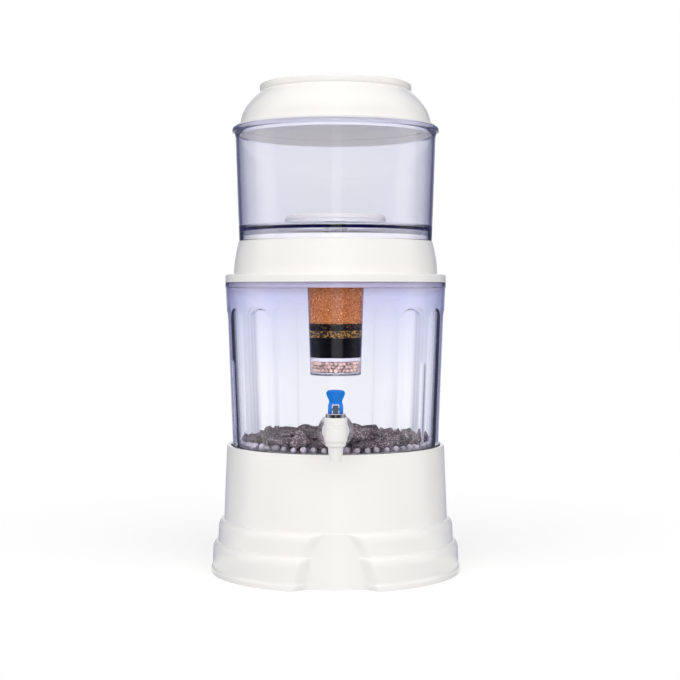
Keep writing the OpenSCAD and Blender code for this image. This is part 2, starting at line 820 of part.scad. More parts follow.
module stem_nut() {
    color("whitesmoke")
        difference() {
            translate([0, 0, nut_z]) cylinder(h = nut_h, r = stem_nut_r, $fn = 6);
            translate([0, 0, nut_z - cut])
                cylinder(h = nut_h + 2 * cut, r = stem_r + thread_gap);
        }
}

// ---------------------------------------------------------------- filter cartridge

module cartridge_housing() {
    outlet_rings = [[8, 6], [16, 12], [23, 18]]; // radius of each ring of outlet holes, and count
    inner_low_r = cart_r(cart_bottom_z + cart_floor_t) - cart_wall;
    color("aliceblue", 0.4)
        difference() {
            rotate_extrude()
                polygon([
                    [0, cart_bottom_z], [cart_r(cart_bottom_z), cart_bottom_z],
                    [cart_top_r, cart_top_z], [cart_top_r - cart_wall, cart_top_z],
                    [inner_low_r, cart_bottom_z + cart_floor_t],
                    [0, cart_bottom_z + cart_floor_t]
                ]);
            for (row = outlet_rings) for (i = [0:row[1] - 1])
                rotate([0, 0, i * 360 / row[1]])
                    translate([row[0], 0, cart_bottom_z - cut])
                        cylinder(h = cart_floor_t + 2 * cut, r = 1.2, $fn = 16);
        }
}

module cartridge_cap() {
    dome_z = cap_plate_z + cap_dome_h;
    head_r = cart_top_r - cart_wall - 1; // inside of the dome over the filling
    color("snow")
        difference() {
            rotate_extrude()
                polygon([
                    [head_r, cap_plate_z], [cap_skirt_in_r, cap_plate_z],
                    [cap_skirt_in_r, cap_plate_z - seal_t - cap_skirt_h],
                    [cap_r, cap_plate_z - seal_t - cap_skirt_h],
                    [cap_r, cap_plate_z + cap_wall + 2], [cap_r - 2, cap_plate_z + cap_wall + 4],
                    [boss_r + 4, dome_z - 3], [boss_r, dome_z], [boss_r, boss_top_z],
                    [stem_bore_r, boss_top_z], [stem_bore_r, dome_z - 4],
                    [boss_r, dome_z - 4 - cap_wall / 2], [head_r, cap_plate_z + cap_wall]
                ]);
            translate([0, 0, boss_top_z - socket_depth])
                cylinder(h = socket_depth + cut, r = stem_r + thread_gap);
        }
}

module cap_seal() {
    color("gray")
        ring(cart_top_r, cart_top_r - cart_wall, cart_top_z, cap_plate_z);
}

module top_pad() {
    color("white") cart_fill(top_pad_z, cart_top_z);
}

module resin_media() {
    color("peru") cart_fill(resin_z, top_pad_z);
}

module black_granules() {
    color("black") cart_fill(black_z, resin_z);
}

module speckled_media() {
    color("darkgoldenrod") cart_fill(speckled_z, black_z);
}

module carbon_media() {
    color("midnightblue") cart_fill(carbon_z, speckled_z);
}

module separator_pad() {
    color("white") cart_fill(separator_z, carbon_z);
}

// Two layers of balls in rings between the outlet pad and the separator
module filter_balls() {
    d = ball_layer_h / 2 - 0.7;
    rings = 4;
    pitch = (cart_r(balls_z) - cart_wall - fill_gap - d / 2) / rings;
    color("mistyrose")
        for (layer = [0:1]) for (ring_i = [0:rings]) {
            count = max(1, 6 * ring_i);
            for (i = [0:count - 1])
                rotate([0, 0, (i + 0.5 * layer) * 360 / count])
                    translate([pitch * ring_i, 0, balls_z + d / 2 + 0.1 + (d + 0.4) * layer])
                        sphere(d = d, $fn = 24);
        }
}

module outlet_pad() {
    color("white") cart_fill(cart_bottom_z + cart_floor_t, balls_z);
}

// ---------------------------------------------------------------- lid

module lid() {
    w = lid_wall;
    z0 = upper_rim_z;
    grip_z = total_h - grip_h;
    dome_r = grip_r + 6.5;
    color("snow")
        rotate_extrude()
            polygon(concat(
                [[lid_ring_r - w, z0 - lid_ring_h], [lid_ring_r, z0 - lid_ring_h], [lid_ring_r, z0]],
                [[lid_flange_r, z0], [lid_flange_r, z0 + lid_flange_t - 0.5]],
                [[lid_flange_r - 0.5, z0 + lid_flange_t], [lid_r, z0 + lid_flange_t]],
                [[lid_r, z0 + lid_upright_h]],
                [for (i = [1:4]) let (t = i / 4)
                    [lid_r - (lid_r - dome_r) * pow(t, 1.15),
                        z0 + lid_upright_h + (grip_z - 1.7 - z0 - lid_upright_h) * t]],
                [[grip_r - 1, grip_z], [grip_r, grip_z + 2], [grip_r, total_h - 2]],
                [for (a = [30:30:90]) [grip_r - 2 + 2 * cos(a), total_h - 2 + 2 * sin(a)]],
                [[grip_r - 6, total_h - 0.6], [grip_r - 7, total_h - grip_recess]],
                [[0, total_h - grip_recess], [0, total_h - grip_recess - w]],
                [[grip_r - 7 - w, total_h - grip_recess - w]],
                [[grip_r - 1 - w, grip_z - w]],
                [for (i = [4:-1:1]) let (t = i / 4)
                    [lid_r - (lid_r - dome_r) * pow(t, 1.15) - w,
                        z0 + lid_upright_h - w / 2 + (grip_z - 1.7 - z0 - lid_upright_h) * t]],
                [[lid_r - w, z0 + lid_upright_h - w / 2], [lid_r - w, z0]],
                [[lid_ring_r - w, z0]]
            ));
}

base_shell();
lower_tank();
mineral_stones();
mineral_balls();
tap_body();
tap_outer_washer();
tap_inner_washer();
tap_nut();
tap_cap();
cap_ring();
valve_stem();
valve_plunger();
valve_spring();
lever_pin();
tap_lever();
mid_cover();
upper_tank();
prefilter_stem();
prefilter_washer();
prefilter_tray();
ceramic_disc();
floor_washer();
stem_nut();
cartridge_housing();
cartridge_cap();
cap_seal();
top_pad();
resin_media();
black_granules();
speckled_media();
carbon_media();
separator_pad();
filter_balls();
outlet_pad();
lid();
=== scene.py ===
"""A gravity water filter: stepped base, two clear tanks, hanging cartridge, push tap and lid.

The classes hold their sizes in millimetres, and the meshes are in metres.
"""

import logging
import math
import random
from collections.abc import Iterable, Sequence
from dataclasses import dataclass
from enum import Enum
from functools import cache
from typing import Any

import bmesh
import bpy
from mathutils import Euler, Matrix, Vector


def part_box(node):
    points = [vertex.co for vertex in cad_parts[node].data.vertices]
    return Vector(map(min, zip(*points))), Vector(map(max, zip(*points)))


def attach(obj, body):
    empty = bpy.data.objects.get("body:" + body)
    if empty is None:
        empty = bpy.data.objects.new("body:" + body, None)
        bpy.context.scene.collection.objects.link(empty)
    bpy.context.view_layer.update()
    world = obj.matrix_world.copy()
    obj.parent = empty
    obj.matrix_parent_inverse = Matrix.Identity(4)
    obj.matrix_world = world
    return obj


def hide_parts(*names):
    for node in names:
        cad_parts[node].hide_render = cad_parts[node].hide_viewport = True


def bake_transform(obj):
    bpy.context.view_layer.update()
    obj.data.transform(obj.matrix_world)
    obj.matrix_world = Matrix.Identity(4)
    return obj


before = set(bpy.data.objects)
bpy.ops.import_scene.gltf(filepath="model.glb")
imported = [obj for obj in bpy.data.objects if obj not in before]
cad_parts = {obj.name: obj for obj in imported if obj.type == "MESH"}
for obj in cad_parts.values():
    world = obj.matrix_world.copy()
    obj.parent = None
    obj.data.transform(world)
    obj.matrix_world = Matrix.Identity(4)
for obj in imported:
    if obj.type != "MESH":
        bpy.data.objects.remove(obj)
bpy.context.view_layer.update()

LOG = logging.getLogger("water_filter")
MM = 0.001
BED_TONE = 0.31
TINY = 1e-6
Triple = tuple[float, float, float]
Point = tuple[float, float]


class Shade(Enum):
    """How the faces of a piece meet: the angle in degrees past which an edge stays sharp."""

    ROUND = 180.0
    MOULDED = 38.0
    TURNED = 28.0


class Layer(Enum):
    """The grains that fill the cartridge, by the nodes that they stand for."""

    RESIN = "resin_media"
    BLACK = "black_granules"
    SPECKLED = "speckled_media"
    CARBON = "carbon_media"


class Tree(Enum):
    """The kinds of node tree."""

    SHADER = "ShaderNodeTree"
    GEOMETRY = "GeometryNodeTree"


# ------------------------------------------------------------------ node graphs


class Term:
    """A value in a node graph. Where it is a number it takes the signs of arithmetic."""

    def __init__(self, graph: "Graph", socket: bpy.types.NodeSocket) -> None:
        """Keeps the socket that gives the value, and its graph."""
        self.graph = graph
        self.socket = socket

    def __add__(self, other: Any) -> "Term":
        """Adds a number."""
        return self.graph.calc("ADD", self, other)

    def __sub__(self, other: Any) -> "Term":
        """Takes a number away from this one."""
        return self.graph.calc("SUBTRACT", self, other)

    def __rsub__(self, other: Any) -> "Term":
        """Takes this number away from another."""
        return self.graph.calc("SUBTRACT", other, self)

    def __mul__(self, other: Any) -> "Term":
        """Multiplies by a number."""
        return self.graph.calc("MULTIPLY", self, other)

    def __truediv__(self, other: Any) -> "Term":
        """Divides by a number."""
        return self.graph.calc("DIVIDE", self, other)

    def __neg__(self) -> "Term":
        """Turns the sign."""
        return self * -1.0

    def __abs__(self) -> "Term":
        """Drops the sign."""
        return self.graph.calc("ABSOLUTE", self)


class Graph:
    """Adds nodes to one node tree and links them."""

    def __init__(self, tree: bpy.types.NodeTree) -> None:
        """Keeps the tree that the nodes go into."""
        self.tree = tree

    def add(self, kind: str, feeds: dict[Any, Any] | None = None, **settings: Any) -> bpy.types.Node:
        """Adds one node.

        Args:
            kind: The node's type name.
            feeds: What goes into each input, by name or by number.
            **settings: Properties of the node, set before its inputs.

        Returns:
            The new node.
        """
        node = self.tree.nodes.new(kind)
        for key, value in settings.items():
            setattr(node, key, value)
        self.fill(node, feeds or {})
        return node

    def fill(self, node: bpy.types.Node, feeds: dict[Any, Any]) -> None:
        """Links terms, sockets and nodes' first outputs to a node's inputs, or sets their values."""
        for key, value in feeds.items():
            if isinstance(value, Term):
                value = value.socket
            elif isinstance(value, bpy.types.Node):
                value = value.outputs[0]
            if isinstance(value, bpy.types.NodeSocket):
                self.tree.links.new(value, node.inputs[key])
            else:
                node.inputs[key].default_value = value

    def calc(self, operation: str, *values: Any, clamp: bool = False) -> Term:
        """Adds a Math node and returns its result."""
        feeds = dict(enumerate(values))
        return Term(self, self.add("ShaderNodeMath", feeds, operation=operation, use_clamp=clamp).outputs[0])

    def positive(self, value: Any) -> Term:
        """Gives a number, or 0 where it is less."""
        return self.calc("MAXIMUM", value, 0.0)

    def vector(self, operation: str, *values: Any, scale: Any = 1.0) -> Term:
        """Adds a Vector Math node.

        Args:
            operation: The node's operation.
            *values: Its vectors, in order.
            scale: The factor of a SCALE operation.

        Returns:
            The vector or the number that the node gives.
        """
        feeds: dict[Any, Any] = dict(enumerate(values))
        if operation == "SCALE":
            feeds["Scale"] = scale
        node = self.add("ShaderNodeVectorMath", feeds, operation=operation)
        return Term(self, node.outputs["Value" if operation == "DOT_PRODUCT" else "Vector"])

    def parts(self, vector: Any) -> list[Term]:
        """Splits a vector into its three numbers."""
        return [Term(self, out) for out in self.add("ShaderNodeSeparateXYZ", {0: vector}).outputs]

    def mix(self, factor: Any, low: Any, high: Any) -> Term:
        """Mixes two numbers, with 0 for the first and 1 for the second."""
        return Term(self, self.add("ShaderNodeMix", {0: factor, 2: low, 3: high}).outputs[0])

    def blend(self, factor: Any, low: Any, high: Any) -> Term:
        """Mixes two colours, with 0 for the first and 1 for the second."""
        node = self.add("ShaderNodeMix", {0: factor, 6: low, 7: high}, data_type="RGBA")
        return Term(self, node.outputs[2])

    def step(self, value: Any, start: Any, end: Any, kind: str = "SMOOTHSTEP") -> Term:
        """Gives 0 at the start, 1 at the end and a soft rise between them, or an even one."""
        feeds = {"Value": value, "From Min": start, "From Max": end}
        return Term(self, self.add("ShaderNodeMapRange", feeds, interpolation_type=kind).outputs[0])

    def noise(self, place: Any, scale: Any, detail: float, **more: Any) -> Term:
        """Adds a Noise Texture and returns its value, in four dimensions where W is an input."""
        feeds = {"Vector": place, "Scale": scale, "Detail": detail, **more}
        kind = "4D" if "W" in more else "3D"
        return Term(self, self.add("ShaderNodeTexNoise", feeds, noise_dimensions=kind).outputs[0])

    def place(self) -> Term:
        """Gives the Object coordinates."""
        return Term(self, self.add("ShaderNodeTexCoord").outputs["Object"])

    def tone(self) -> Term:
        """Gives the tone that each stone, ball or grain carries."""
        return Term(self, self.add("ShaderNodeAttribute", attribute_name="tone").outputs["Fac"])

    def ramp(self, factor: Any, stops: Iterable[tuple[float, Triple]]) -> Term:
        """Adds a Color Ramp with these places and colours and returns its colour."""
        node = self.add("ShaderNodeValToRGB", {0: factor})
        elements = node.color_ramp.elements
        for count, (place, colour) in enumerate(stops):
            element = elements[count] if count < len(elements) else elements.new(place)
            element.position = place
            element.color = (*colour, 1.0)
        return Term(self, node.outputs[0])


def socket_kind(value: Any) -> str:
    """Tells a socket's type by its default value. A type's own name stands for itself."""
    if isinstance(value, str):
        return value
    if isinstance(value, tuple):
        return {3: "NodeSocketVector", 4: "NodeSocketColor"}[len(value)]
    return "NodeSocketInt" if isinstance(value, int) else "NodeSocketFloat"


class NamedTree:
    """A node tree with named inputs and outputs."""

    def __init__(self, name: str, kind: Tree, inputs: dict[str, Any], outputs: dict[str, Any]) -> None:
        """Makes the tree and its sockets.

        Args:
            name: The tree's name.
            kind: The kind of tree.
            inputs: The default value of each input, or its type.
            outputs: A value that each output could have, or its type.
        """
        self.tree = bpy.data.node_groups.new(name, kind.value)
        for in_out, sockets in (("INPUT", inputs), ("OUTPUT", outputs)):
            for label, value in sockets.items():
                socket = self.tree.interface.new_socket(label, in_out=in_out, socket_type=socket_kind(value))
                if in_out == "INPUT" and not isinstance(value, str):
                    socket.default_value = value
        self.graph = Graph(self.tree)
        self.source = self.graph.add("NodeGroupInput").outputs

    def __getitem__(self, label: str) -> Term:
        """Gives the value of an input."""
        return Term(self.graph, self.source[label])

    def give(self, **results: Any) -> None:
        """Feeds the tree's outputs by name."""
        self.graph.add("NodeGroupOutput", results)


WHITE = (1.0, 1.0, 1.0, 1.0)


@cache
def moulded_group() -> bpy.types.NodeTree:
    """Builds the skin of moulded plastic and rubber: uneven tone, smears and a fine grain."""
    group = NamedTree(
        "MouldedSkin", Tree.SHADER,
        {"Colour": WHITE, "Tone": 0.03, "Grain Scale": 900.0, "Roughness": 0.3, "Smear": 0.06},
        {"Colour": WHITE, "Roughness": 0.0, "Height": 0.0},
    )
    g = group.graph
    place = g.place()
    broad = g.noise(place, 11.0, 3.0)
    smear = g.noise(place, 46.0, 4.0, Distortion=0.8)
    tone = (broad * 2.0 - 1.0) * group["Tone"] + 1.0
    group.give(
        Colour=g.vector("SCALE", group["Colour"], scale=tone),
        Roughness=(smear - 0.5) * group["Smear"] + group["Roughness"],
        Height=g.noise(place, group["Grain Scale"], 2.0),
    )
    return group.tree


@cache
def rock_group() -> bpy.types.NodeTree:
    """Builds the grain of broken stone: patches, pale and dark flecks and a pitted height."""
    group = NamedTree(
        "RockGrain", Tree.SHADER,
        {"Colour": WHITE, "Fleck": WHITE, "Dark": WHITE, "Tone": 0.5, "Scale": 420.0, "Fleck Share": 0.5},
        {"Colour": WHITE, "Height": 0.0},
    )
    g = group.graph
    place = g.place()
    patch = g.noise(place, 130.0, 4.0)
    cells = g.add("ShaderNodeTexVoronoi", {"Vector": place, "Scale": group["Scale"]}).outputs
    fleck = g.calc("LESS_THAN", cells["Distance"], group["Fleck Share"])
    chosen = g.calc("GREATER_THAN", g.add("ShaderNodeSeparateColor", {0: cells["Color"]}), 0.55)
    body = g.blend(patch, group["Dark"], group["Colour"])
    speckled = g.blend(fleck * chosen * 0.75, body, group["Fleck"])
    group.give(
        Colour=g.vector("SCALE", speckled, scale=group["Tone"] * 0.7 + 0.65),
        Height=patch * 1.4 + g.noise(place, group["Scale"], 3.0),
    )
    return group.tree


@cache
def grain_group() -> bpy.types.NodeTree:
    """Builds the colour of loose grains, from a tone that each grain carries."""
    group = NamedTree(
        "GrainTone", Tree.SHADER,
        {"Low": WHITE, "High": WHITE, "Odd": WHITE, "Odd Share": 0.0},
        {"Colour": WHITE, "Height": 0.0},
    )
    g = group.graph
    tone = g.tone()
    body = g.blend(tone, group["Low"], group["High"])
    odd = g.calc("LESS_THAN", g.calc("FRACT", tone * 37.0), group["Odd Share"])
    group.give(Colour=g.blend(odd, body, group["Odd"]), Height=g.noise(g.place(), 1500.0, 2.0))
    return group.tree


# ------------------------------------------------------------------ finishes


def rgb(colour: Triple) -> tuple[float, float, float, float]:
    """Turns a colour in 0 to 255, as a screen shows it, into linear red, green, blue and 1."""
    def linear(level: float) -> float:
        """Gives one channel's linear value."""
        share = level / 255.0
        return share / 12.92 if share <= 0.04045 else ((share + 0.055) / 1.055) ** 2.4

    return (*(linear(level) for level in colour), 1.0)


def grey(level: float) -> tuple[float, float, float, float]:
    """Gives a linear grey with its 1."""
    return (level, level, level, 1.0)


class Finish:
    """A named material that is built once, when it is first used."""

    name: str
    made: dict[str, bpy.types.Material] = {}

    def material(self) -> bpy.types.Material:
        """Gives the finish's material, building it the first time."""
        if self.name not in Finish.made:
            mat = bpy.data.materials.new(self.name)
            mat.use_nodes = True
            mat.node_tree.nodes.clear()
            graph = Graph(mat.node_tree)
            shader = graph.add("ShaderNodeBsdfPrincipled")
            result = graph.add("ShaderNodeOutputMaterial", {"Surface": shader})
            self.dress(graph, shader, result)
            Finish.made[self.name] = mat
        return Finish.made[self.name]

    def dress(self, graph: Graph, shader: bpy.types.Node, result: bpy.types.Node) -> None:
        """Sets the shader's sockets and adds the nodes that feed it."""
        raise NotImplementedError

    @staticmethod
    def group(graph: Graph, tree: bpy.types.NodeTree, **feeds: Any) -> Any:
        """Places one of the shared groups in a material.

        Args:
            graph: The material's graph.
            tree: The group's tree.
            **feeds: The group's inputs, with _ for a space.

        Returns:
            The group's outputs.
        """
        named = {key.replace("_", " "): value for key, value in feeds.items()}
        return graph.add("ShaderNodeGroup", named, node_tree=tree).outputs

    @staticmethod
    def bump(graph: Graph, height: Any, strength: float, depth: float) -> bpy.types.Node:
        """Makes a normal from a height.

        Args:
            graph: The material's graph.
            height: The socket of the height.
            strength: The bump's strength.
            depth: The bump's depth in millimetres.

        Returns:
            The Bump node.
        """
        return graph.add("ShaderNodeBump", {"Height": height, "Strength": strength, "Distance": depth * MM})


@dataclass(frozen=True)
class Moulded(Finish):
    """Opaque moulded plastic, silicone, rubber or polished metal."""

    name: str
    colour: Triple
    roughness: float = 0.28
    tone: float = 0.02
    smear: float = 0.08
    grain: float = 700.0
    relief: float = 0.05
    coat: float = 0.0
    coat_roughness: float = 0.08
    metal: float = 0.0

    def dress(self, graph: Graph, shader: bpy.types.Node, result: bpy.types.Node) -> None:
        """Sets plain gloss on the shader and feeds it the moulded skin."""
        skin = self.group(
            graph, moulded_group(), Colour=rgb(self.colour), Tone=self.tone,
            Roughness=self.roughness, Smear=self.smear, Grain_Scale=self.grain,
        )
        graph.fill(shader, {
            "Base Color": skin["Colour"], "Roughness": skin["Roughness"], "Metallic": self.metal,
            "Coat Weight": self.coat, "Coat Roughness": self.coat_roughness,
            "Normal": self.bump(graph, skin["Height"], self.relief, 0.2),
        })


@dataclass(frozen=True)
class ClearPlastic(Finish):
    """Clear tinted plastic whose colour changes with height: its own tint, with painted shade where it
    darkens. The tint deepens with the way through it.
    """

    name: str
    # Colours up the height: the plastic's tint, and where they darken towards the top, painted shade
    tints_and_painted_shade: tuple[Triple, Triple, Triple, Triple]
    low_z: float
    high_z: float
    keeps: Triple = (0.10, 0.13, 0.60)
    density: float = 26.0
    roughness: float = 0.015
    ior: float = 1.46
    wave: float = 0.005
    stops: tuple[float, float, float, float] = (0.0, 0.55, 0.9, 1.0)

    def dress(self, graph: Graph, shader: bpy.types.Node, result: bpy.types.Node) -> None:
        """Makes the shader a clear solid with faint waves that run up the wall."""
        place = graph.place()
        # Colour by height: the plastic's tint, with painted shade where the ramp darkens towards the top
        rise = graph.step(graph.parts(place)[2], self.low_z * MM, self.high_z * MM, "LINEAR")
        stretch = graph.add("ShaderNodeMapping", {"Vector": place, "Scale": (1.0, 1.0, 0.05)})
        graph.fill(shader, {
            "Base Color": graph.ramp(rise, zip(self.stops, self.tints_and_painted_shade)), "Transmission Weight": 1.0,
            "Roughness": self.roughness, "IOR": self.ior,
            "Normal": self.bump(graph, graph.noise(stretch, 34.0, 1.0), self.wave, 1.0),
        })
        feeds = {"Color": (*self.keeps, 1.0), "Density": self.density}
        graph.fill(result, {"Volume": graph.add("ShaderNodeVolumeAbsorption", feeds)})


@dataclass(frozen=True)
class Rock(Finish):
    """Broken mineral stone."""

    name: str
    colour: Triple
    fleck: Triple
    dark: Triple
    scale: float = 420.0
    share: float = 0.5
    roughness: float = 0.75
    relief: float = 0.7

    def dress(self, graph: Graph, shader: bpy.types.Node, result: bpy.types.Node) -> None:
        """Feeds the shader the rock's grain, with a tone for each stone."""
        grain = self.group(
            graph, rock_group(), Colour=rgb(self.colour), Fleck=rgb(self.fleck), Dark=rgb(self.dark),
            Tone=graph.tone(), Scale=self.scale, Fleck_Share=self.share,
        )
        graph.fill(shader, {"Base Color": grain["Colour"], "Roughness": self.roughness,
                            "Normal": self.bump(graph, grain["Height"], self.relief, 0.5)})


@dataclass(frozen=True)
class Grains(Finish):
    """Loose grains or beads, each with its own tone."""

    name: str
    low: Triple
    high: Triple
    odd: Triple = (0.0, 0.0, 0.0)
    odd_share: float = 0.0
    roughness: float = 0.5
    shine: float = 0.5

    def dress(self, graph: Graph, shader: bpy.types.Node, result: bpy.types.Node) -> None:
        """Feeds the shader the tone of each grain."""
        grain = self.group(
            graph, grain_group(), Low=rgb(self.low), High=rgb(self.high),
            Odd=rgb(self.odd), Odd_Share=self.odd_share,
        )
        graph.fill(shader, {
            "Base Color": grain["Colour"], "Roughness": self.roughness, "Specular IOR Level": self.shine,
            "Normal": self.bump(graph, grain["Height"], 0.3, 0.1),
        })


@dataclass(frozen=True)
class Fibre(Finish):
    """Felted fibre or fine unglazed ceramic."""

    name: str
    colour: Triple
    shade: Triple
    scale: float = 900.0
    roughness: float = 0.9
    relief: float = 0.5

    def dress(self, graph: Graph, shader: bpy.types.Node, result: bpy.types.Node) -> None:
        """Feeds the shader a fine mottled colour and its height."""
        lint = graph.noise(graph.place(), self.scale, 5.0, Distortion=1.5)
        graph.fill(shader, {
            "Base Color": graph.blend(lint, rgb(self.shade), rgb(self.colour)),
            "Roughness": self.roughness, "Normal": self.bump(graph, lint, self.relief, 0.3),
        })


SHELL_WHITE = Moulded("shell_white", (248, 246, 242), roughness=0.22, coat=0.3)
TAP_WHITE = Moulded("tap_plastic", (244, 243, 240), roughness=0.3, coat=0.15)
LEVER_BLUE = Moulded("lever_blue", (0, 124, 224), roughness=0.26, tone=0.04, coat=0.3)
HEAD_GREY = Moulded("head_grey", (122, 124, 138), roughness=0.42)
RUBBER_GREY = Moulded("rubber_grey", (96, 97, 100), roughness=0.6, relief=0.2)
RUBBER_BLACK = Moulded("rubber_black", (34, 34, 37), roughness=0.6, relief=0.2)
BRIGHT_METAL = Moulded("polished_metal", (196, 192, 186), roughness=0.16, tone=0.05, metal=1.0)
NUT_WHITE = Moulded("nut_white", (236, 236, 234), roughness=0.35)
STEM_GREY = Moulded("stem_grey", (172, 174, 178), roughness=0.4)
TRAY_IVORY = Moulded("tray_ivory", (236, 234, 232), roughness=0.35)
# Clear at the bottom, deepening to lilac and darker at the top. The lilac hue is the plastic's own; its
# deepening towards the top is painted shade of the cover.
LILAC_TANK = ClearPlastic(
    "lilac_tank", ((1.0, 1.0, 1.0), (0.935, 0.946, 0.99), (0.847, 0.85, 0.964), (0.71, 0.69, 0.79)),
    215.0, 327.0,
)
LILAC_UPPER = ClearPlastic(
    "lilac_upper", ((0.93, 0.93, 0.945), (0.94, 0.94, 0.95), (0.93, 0.93, 0.95), (0.92, 0.92, 0.95)),
    390.0, 510.0,
)
CLEAR_HOUSING = ClearPlastic(
    "clear_cup_plastic", ((0.98, 0.98, 0.98),) * 4, 220.0, 345.0, (0.8, 0.75, 0.8), 4.0, ior=1.2
)
CLEAR_SILICONE = ClearPlastic(
    "clear_seal", ((0.92, 0.92, 0.94),) * 4, 150.0, 200.0, (0.6, 0.6, 0.8), 5.0, roughness=0.2, ior=1.16
)
GREY_ROCK = Rock("grey_rock", (124, 108, 110), (190, 178, 176), (56, 47, 51), 640.0)
WHITE_PEBBLE = Rock("white_pebble", (210, 202, 212), (230, 224, 232), (168, 158, 170), 500.0, 0.4, 0.5, 0.15)
PINK_PEBBLE = Rock("pink_pebble", (206, 176, 166), (226, 204, 196), (172, 142, 132), 700.0, 0.4, 0.5, 0.15)
AMBER_BEADS = Grains("amber_beads", (140, 64, 22), (246, 168, 98), (250, 206, 156), 0.03, 0.5, 0.3)
BLACK_GRAINS = Grains("black_grains", (10, 8, 8), (30, 25, 24), (120, 78, 42), 0.14, 0.5, 0.3)
OCHRE_GRAINS = Grains("ochre_grains", (14, 10, 9), (52, 36, 18), (214, 158, 70), 0.34, 0.4, 0.5)
CARBON_GRAINS = Grains("carbon_grains", (5, 4, 6), (15, 13, 18), roughness=0.6, shine=0.15)
PALE_FELT = Fibre("pale_felt", (206, 202, 210), (168, 164, 174))
CERAMIC = Fibre("ceramic", (240, 236, 232), (226, 220, 218), 500.0, 0.7, 0.2)


# ------------------------------------------------------------------ meshes


def soften(corners: Iterable[Triple], steps: int = 5) -> list[Point]:
    """Rounds the corners of an open outline.

    Args:
        corners: Radius, height and size of the rounding of each corner, in millimetres.
        steps: Points on each rounding.

    Returns:
        The outline's points.
    """
    rows = list(corners)
    points: list[Point] = []
    for i, (r, z, size) in enumerate(rows):
        here = Vector((r, z))
        if size <= 0 or i in (0, len(rows) - 1):
            points.append((r, z))
            continue
        before = Vector(rows[i - 1][:2]) - here
        after = Vector(rows[i + 1][:2]) - here
        start = here + before.normalized() * min(size, before.length * 0.48)
        end = here + after.normalized() * min(size, after.length * 0.48)
        for k in range(steps + 1):
            t = k / steps
            spot = start * (1 - t) ** 2 + here * (2 * t * (1 - t)) + end * t**2
            points.append((spot.x, spot.y))
    return points


def divided(points: Sequence[Point], step: float, low: float, high: float) -> list[Point]:
    """Splits an outline's long runs into steps.

    Args:
        points: The outline, in millimetres.
        step: The longest run that is left between the two heights.
        low: Runs that end below this height are left whole.
        high: Runs that end above this height are left whole.

    Returns:
        The outline with its new points.
    """
    rows = [points[0]]
    for (r0, z0), (r1, z1) in zip(points, points[1:]):
        parts = 1
        if low <= min(z0, z1) and max(z0, z1) <= high:
            parts = max(1, math.ceil(math.hypot(r1 - r0, z1 - z0) / step))
        rows += [(r0 + (r1 - r0) * k / parts, z0 + (z1 - z0) * k / parts) for k in range(1, parts + 1)]
    return rows


def quarter(r1: float, z1: float, r2: float, z2: float, steps: int = 9) -> list[Triple]:
    """Gives a rounded shoulder from upright at (r1, z1) to level at (r2, z2)."""
    turns = [math.radians(90 * k / steps) for k in range(steps + 1)]
    return [(r2 + (r1 - r2) * math.cos(a), z1 + (z2 - z1) * math.sin(a), 0.0) for a in turns]


def around(coarse: float, fine: Sequence[Triple] = ()) -> list[float]:
    """Gives angles round the axis, from the front, in degrees.

    Args:
        coarse: The usual step.
        fine: Start, end and step of each stretch with smaller steps.

    Returns:
        The angles in rising order, from -180 up to but not including 180.
    """
    count = round(360 / coarse)
    angles = {round(-180 + i * 360 / count, 4) for i in range(count)}
    for start, end, step in fine:
        angles = {a for a in angles if not start - step / 2 < a < end + step / 2}
        angles |= {round(start + i * step, 4) for i in range(round((end - start) / step) + 1)}
    return sorted(angles)


def add_object(name: str, data: Any) -> bpy.types.Object:
    """Makes an object of a mesh or a camera and links it to the scene."""
    piece = bpy.data.objects.new(name, data)
    bpy.context.scene.collection.objects.link(piece)
    return piece


def finish_mesh(name: str, mesh: bpy.types.Mesh, shade: Shade = Shade.MOULDED) -> bpy.types.Object:
    """Sets how a mesh's faces are shaded and makes it an object.

    Args:
        name: The object's name.
        mesh: Its mesh.
        shade: How its faces meet.

    Returns:
        The object, linked to the scene.
    """
    mesh.shade_smooth()
    if shade is not Shade.ROUND:
        mesh.set_sharp_from_angle(angle=math.radians(shade.value))
    return add_object(name, mesh)


def taken(piece: bpy.types.Object) -> bpy.types.Mesh:
    """Removes an object and gives its mesh."""
    mesh = piece.data
    bpy.data.objects.remove(piece)
    return mesh


def at(r: float, z: float, turn: float) -> Triple:
    """Gives the point at a radius and height in millimetres and an angle from the front, in metres."""
    a = math.radians(turn)
    return (r * math.sin(a) * MM, -r * math.cos(a) * MM, z * MM)


def lathe(
    name: str, strips: Sequence[tuple[Sequence[Point], float]], angles: Sequence[float], closed: bool = True
) -> bpy.types.Mesh:
    """Turns an outline round the axis.

    Args:
        name: The mesh's name.
        strips: Runs of (radius, height) points in millimetres, outside upwards and inside downwards, each
            with a number that its points carry in the attribute "skin".
        angles: Angles from the front, in degrees.
        closed: Whether the last point joins the first.

    Returns:
        The mesh, in metres.
    """
    verts: list[Triple] = []
    skins: list[float] = []
    rows: list[list[int]] = []
    for points, skin in strips:
        for r, z in points:
            if rows and verts[rows[-1][0]] == at(r, z, angles[0]):
                continue
            spots = [at(r, z, a) for a in (angles if r > TINY else angles[:1])]
            rows.append(list(range(len(verts), len(verts) + len(spots))))
            verts += spots
            skins += [skin] * len(spots)
    faces: list[tuple[int, ...]] = []
    for low, high in zip(rows, rows[1:] + rows[:1] * closed):
        for j in range(len(angles)):
            k = (j + 1) % len(angles)
            if len(low) > 1 and len(high) > 1:
                faces.append((low[j], low[k], high[k], high[j]))
            elif len(low) > 1:
                faces.append((low[j], low[k], high[0]))
            elif len(high) > 1:
                faces.append((low[0], high[k], high[j]))
    mesh = bpy.data.meshes.new(name)
    mesh.from_pydata(verts, [], faces)
    for label, values in (("skin", skins), ("tone", [BED_TONE] * len(skins))):
        mesh.attributes.new(label, "FLOAT", "POINT").data.foreach_set("value", values)
    return mesh


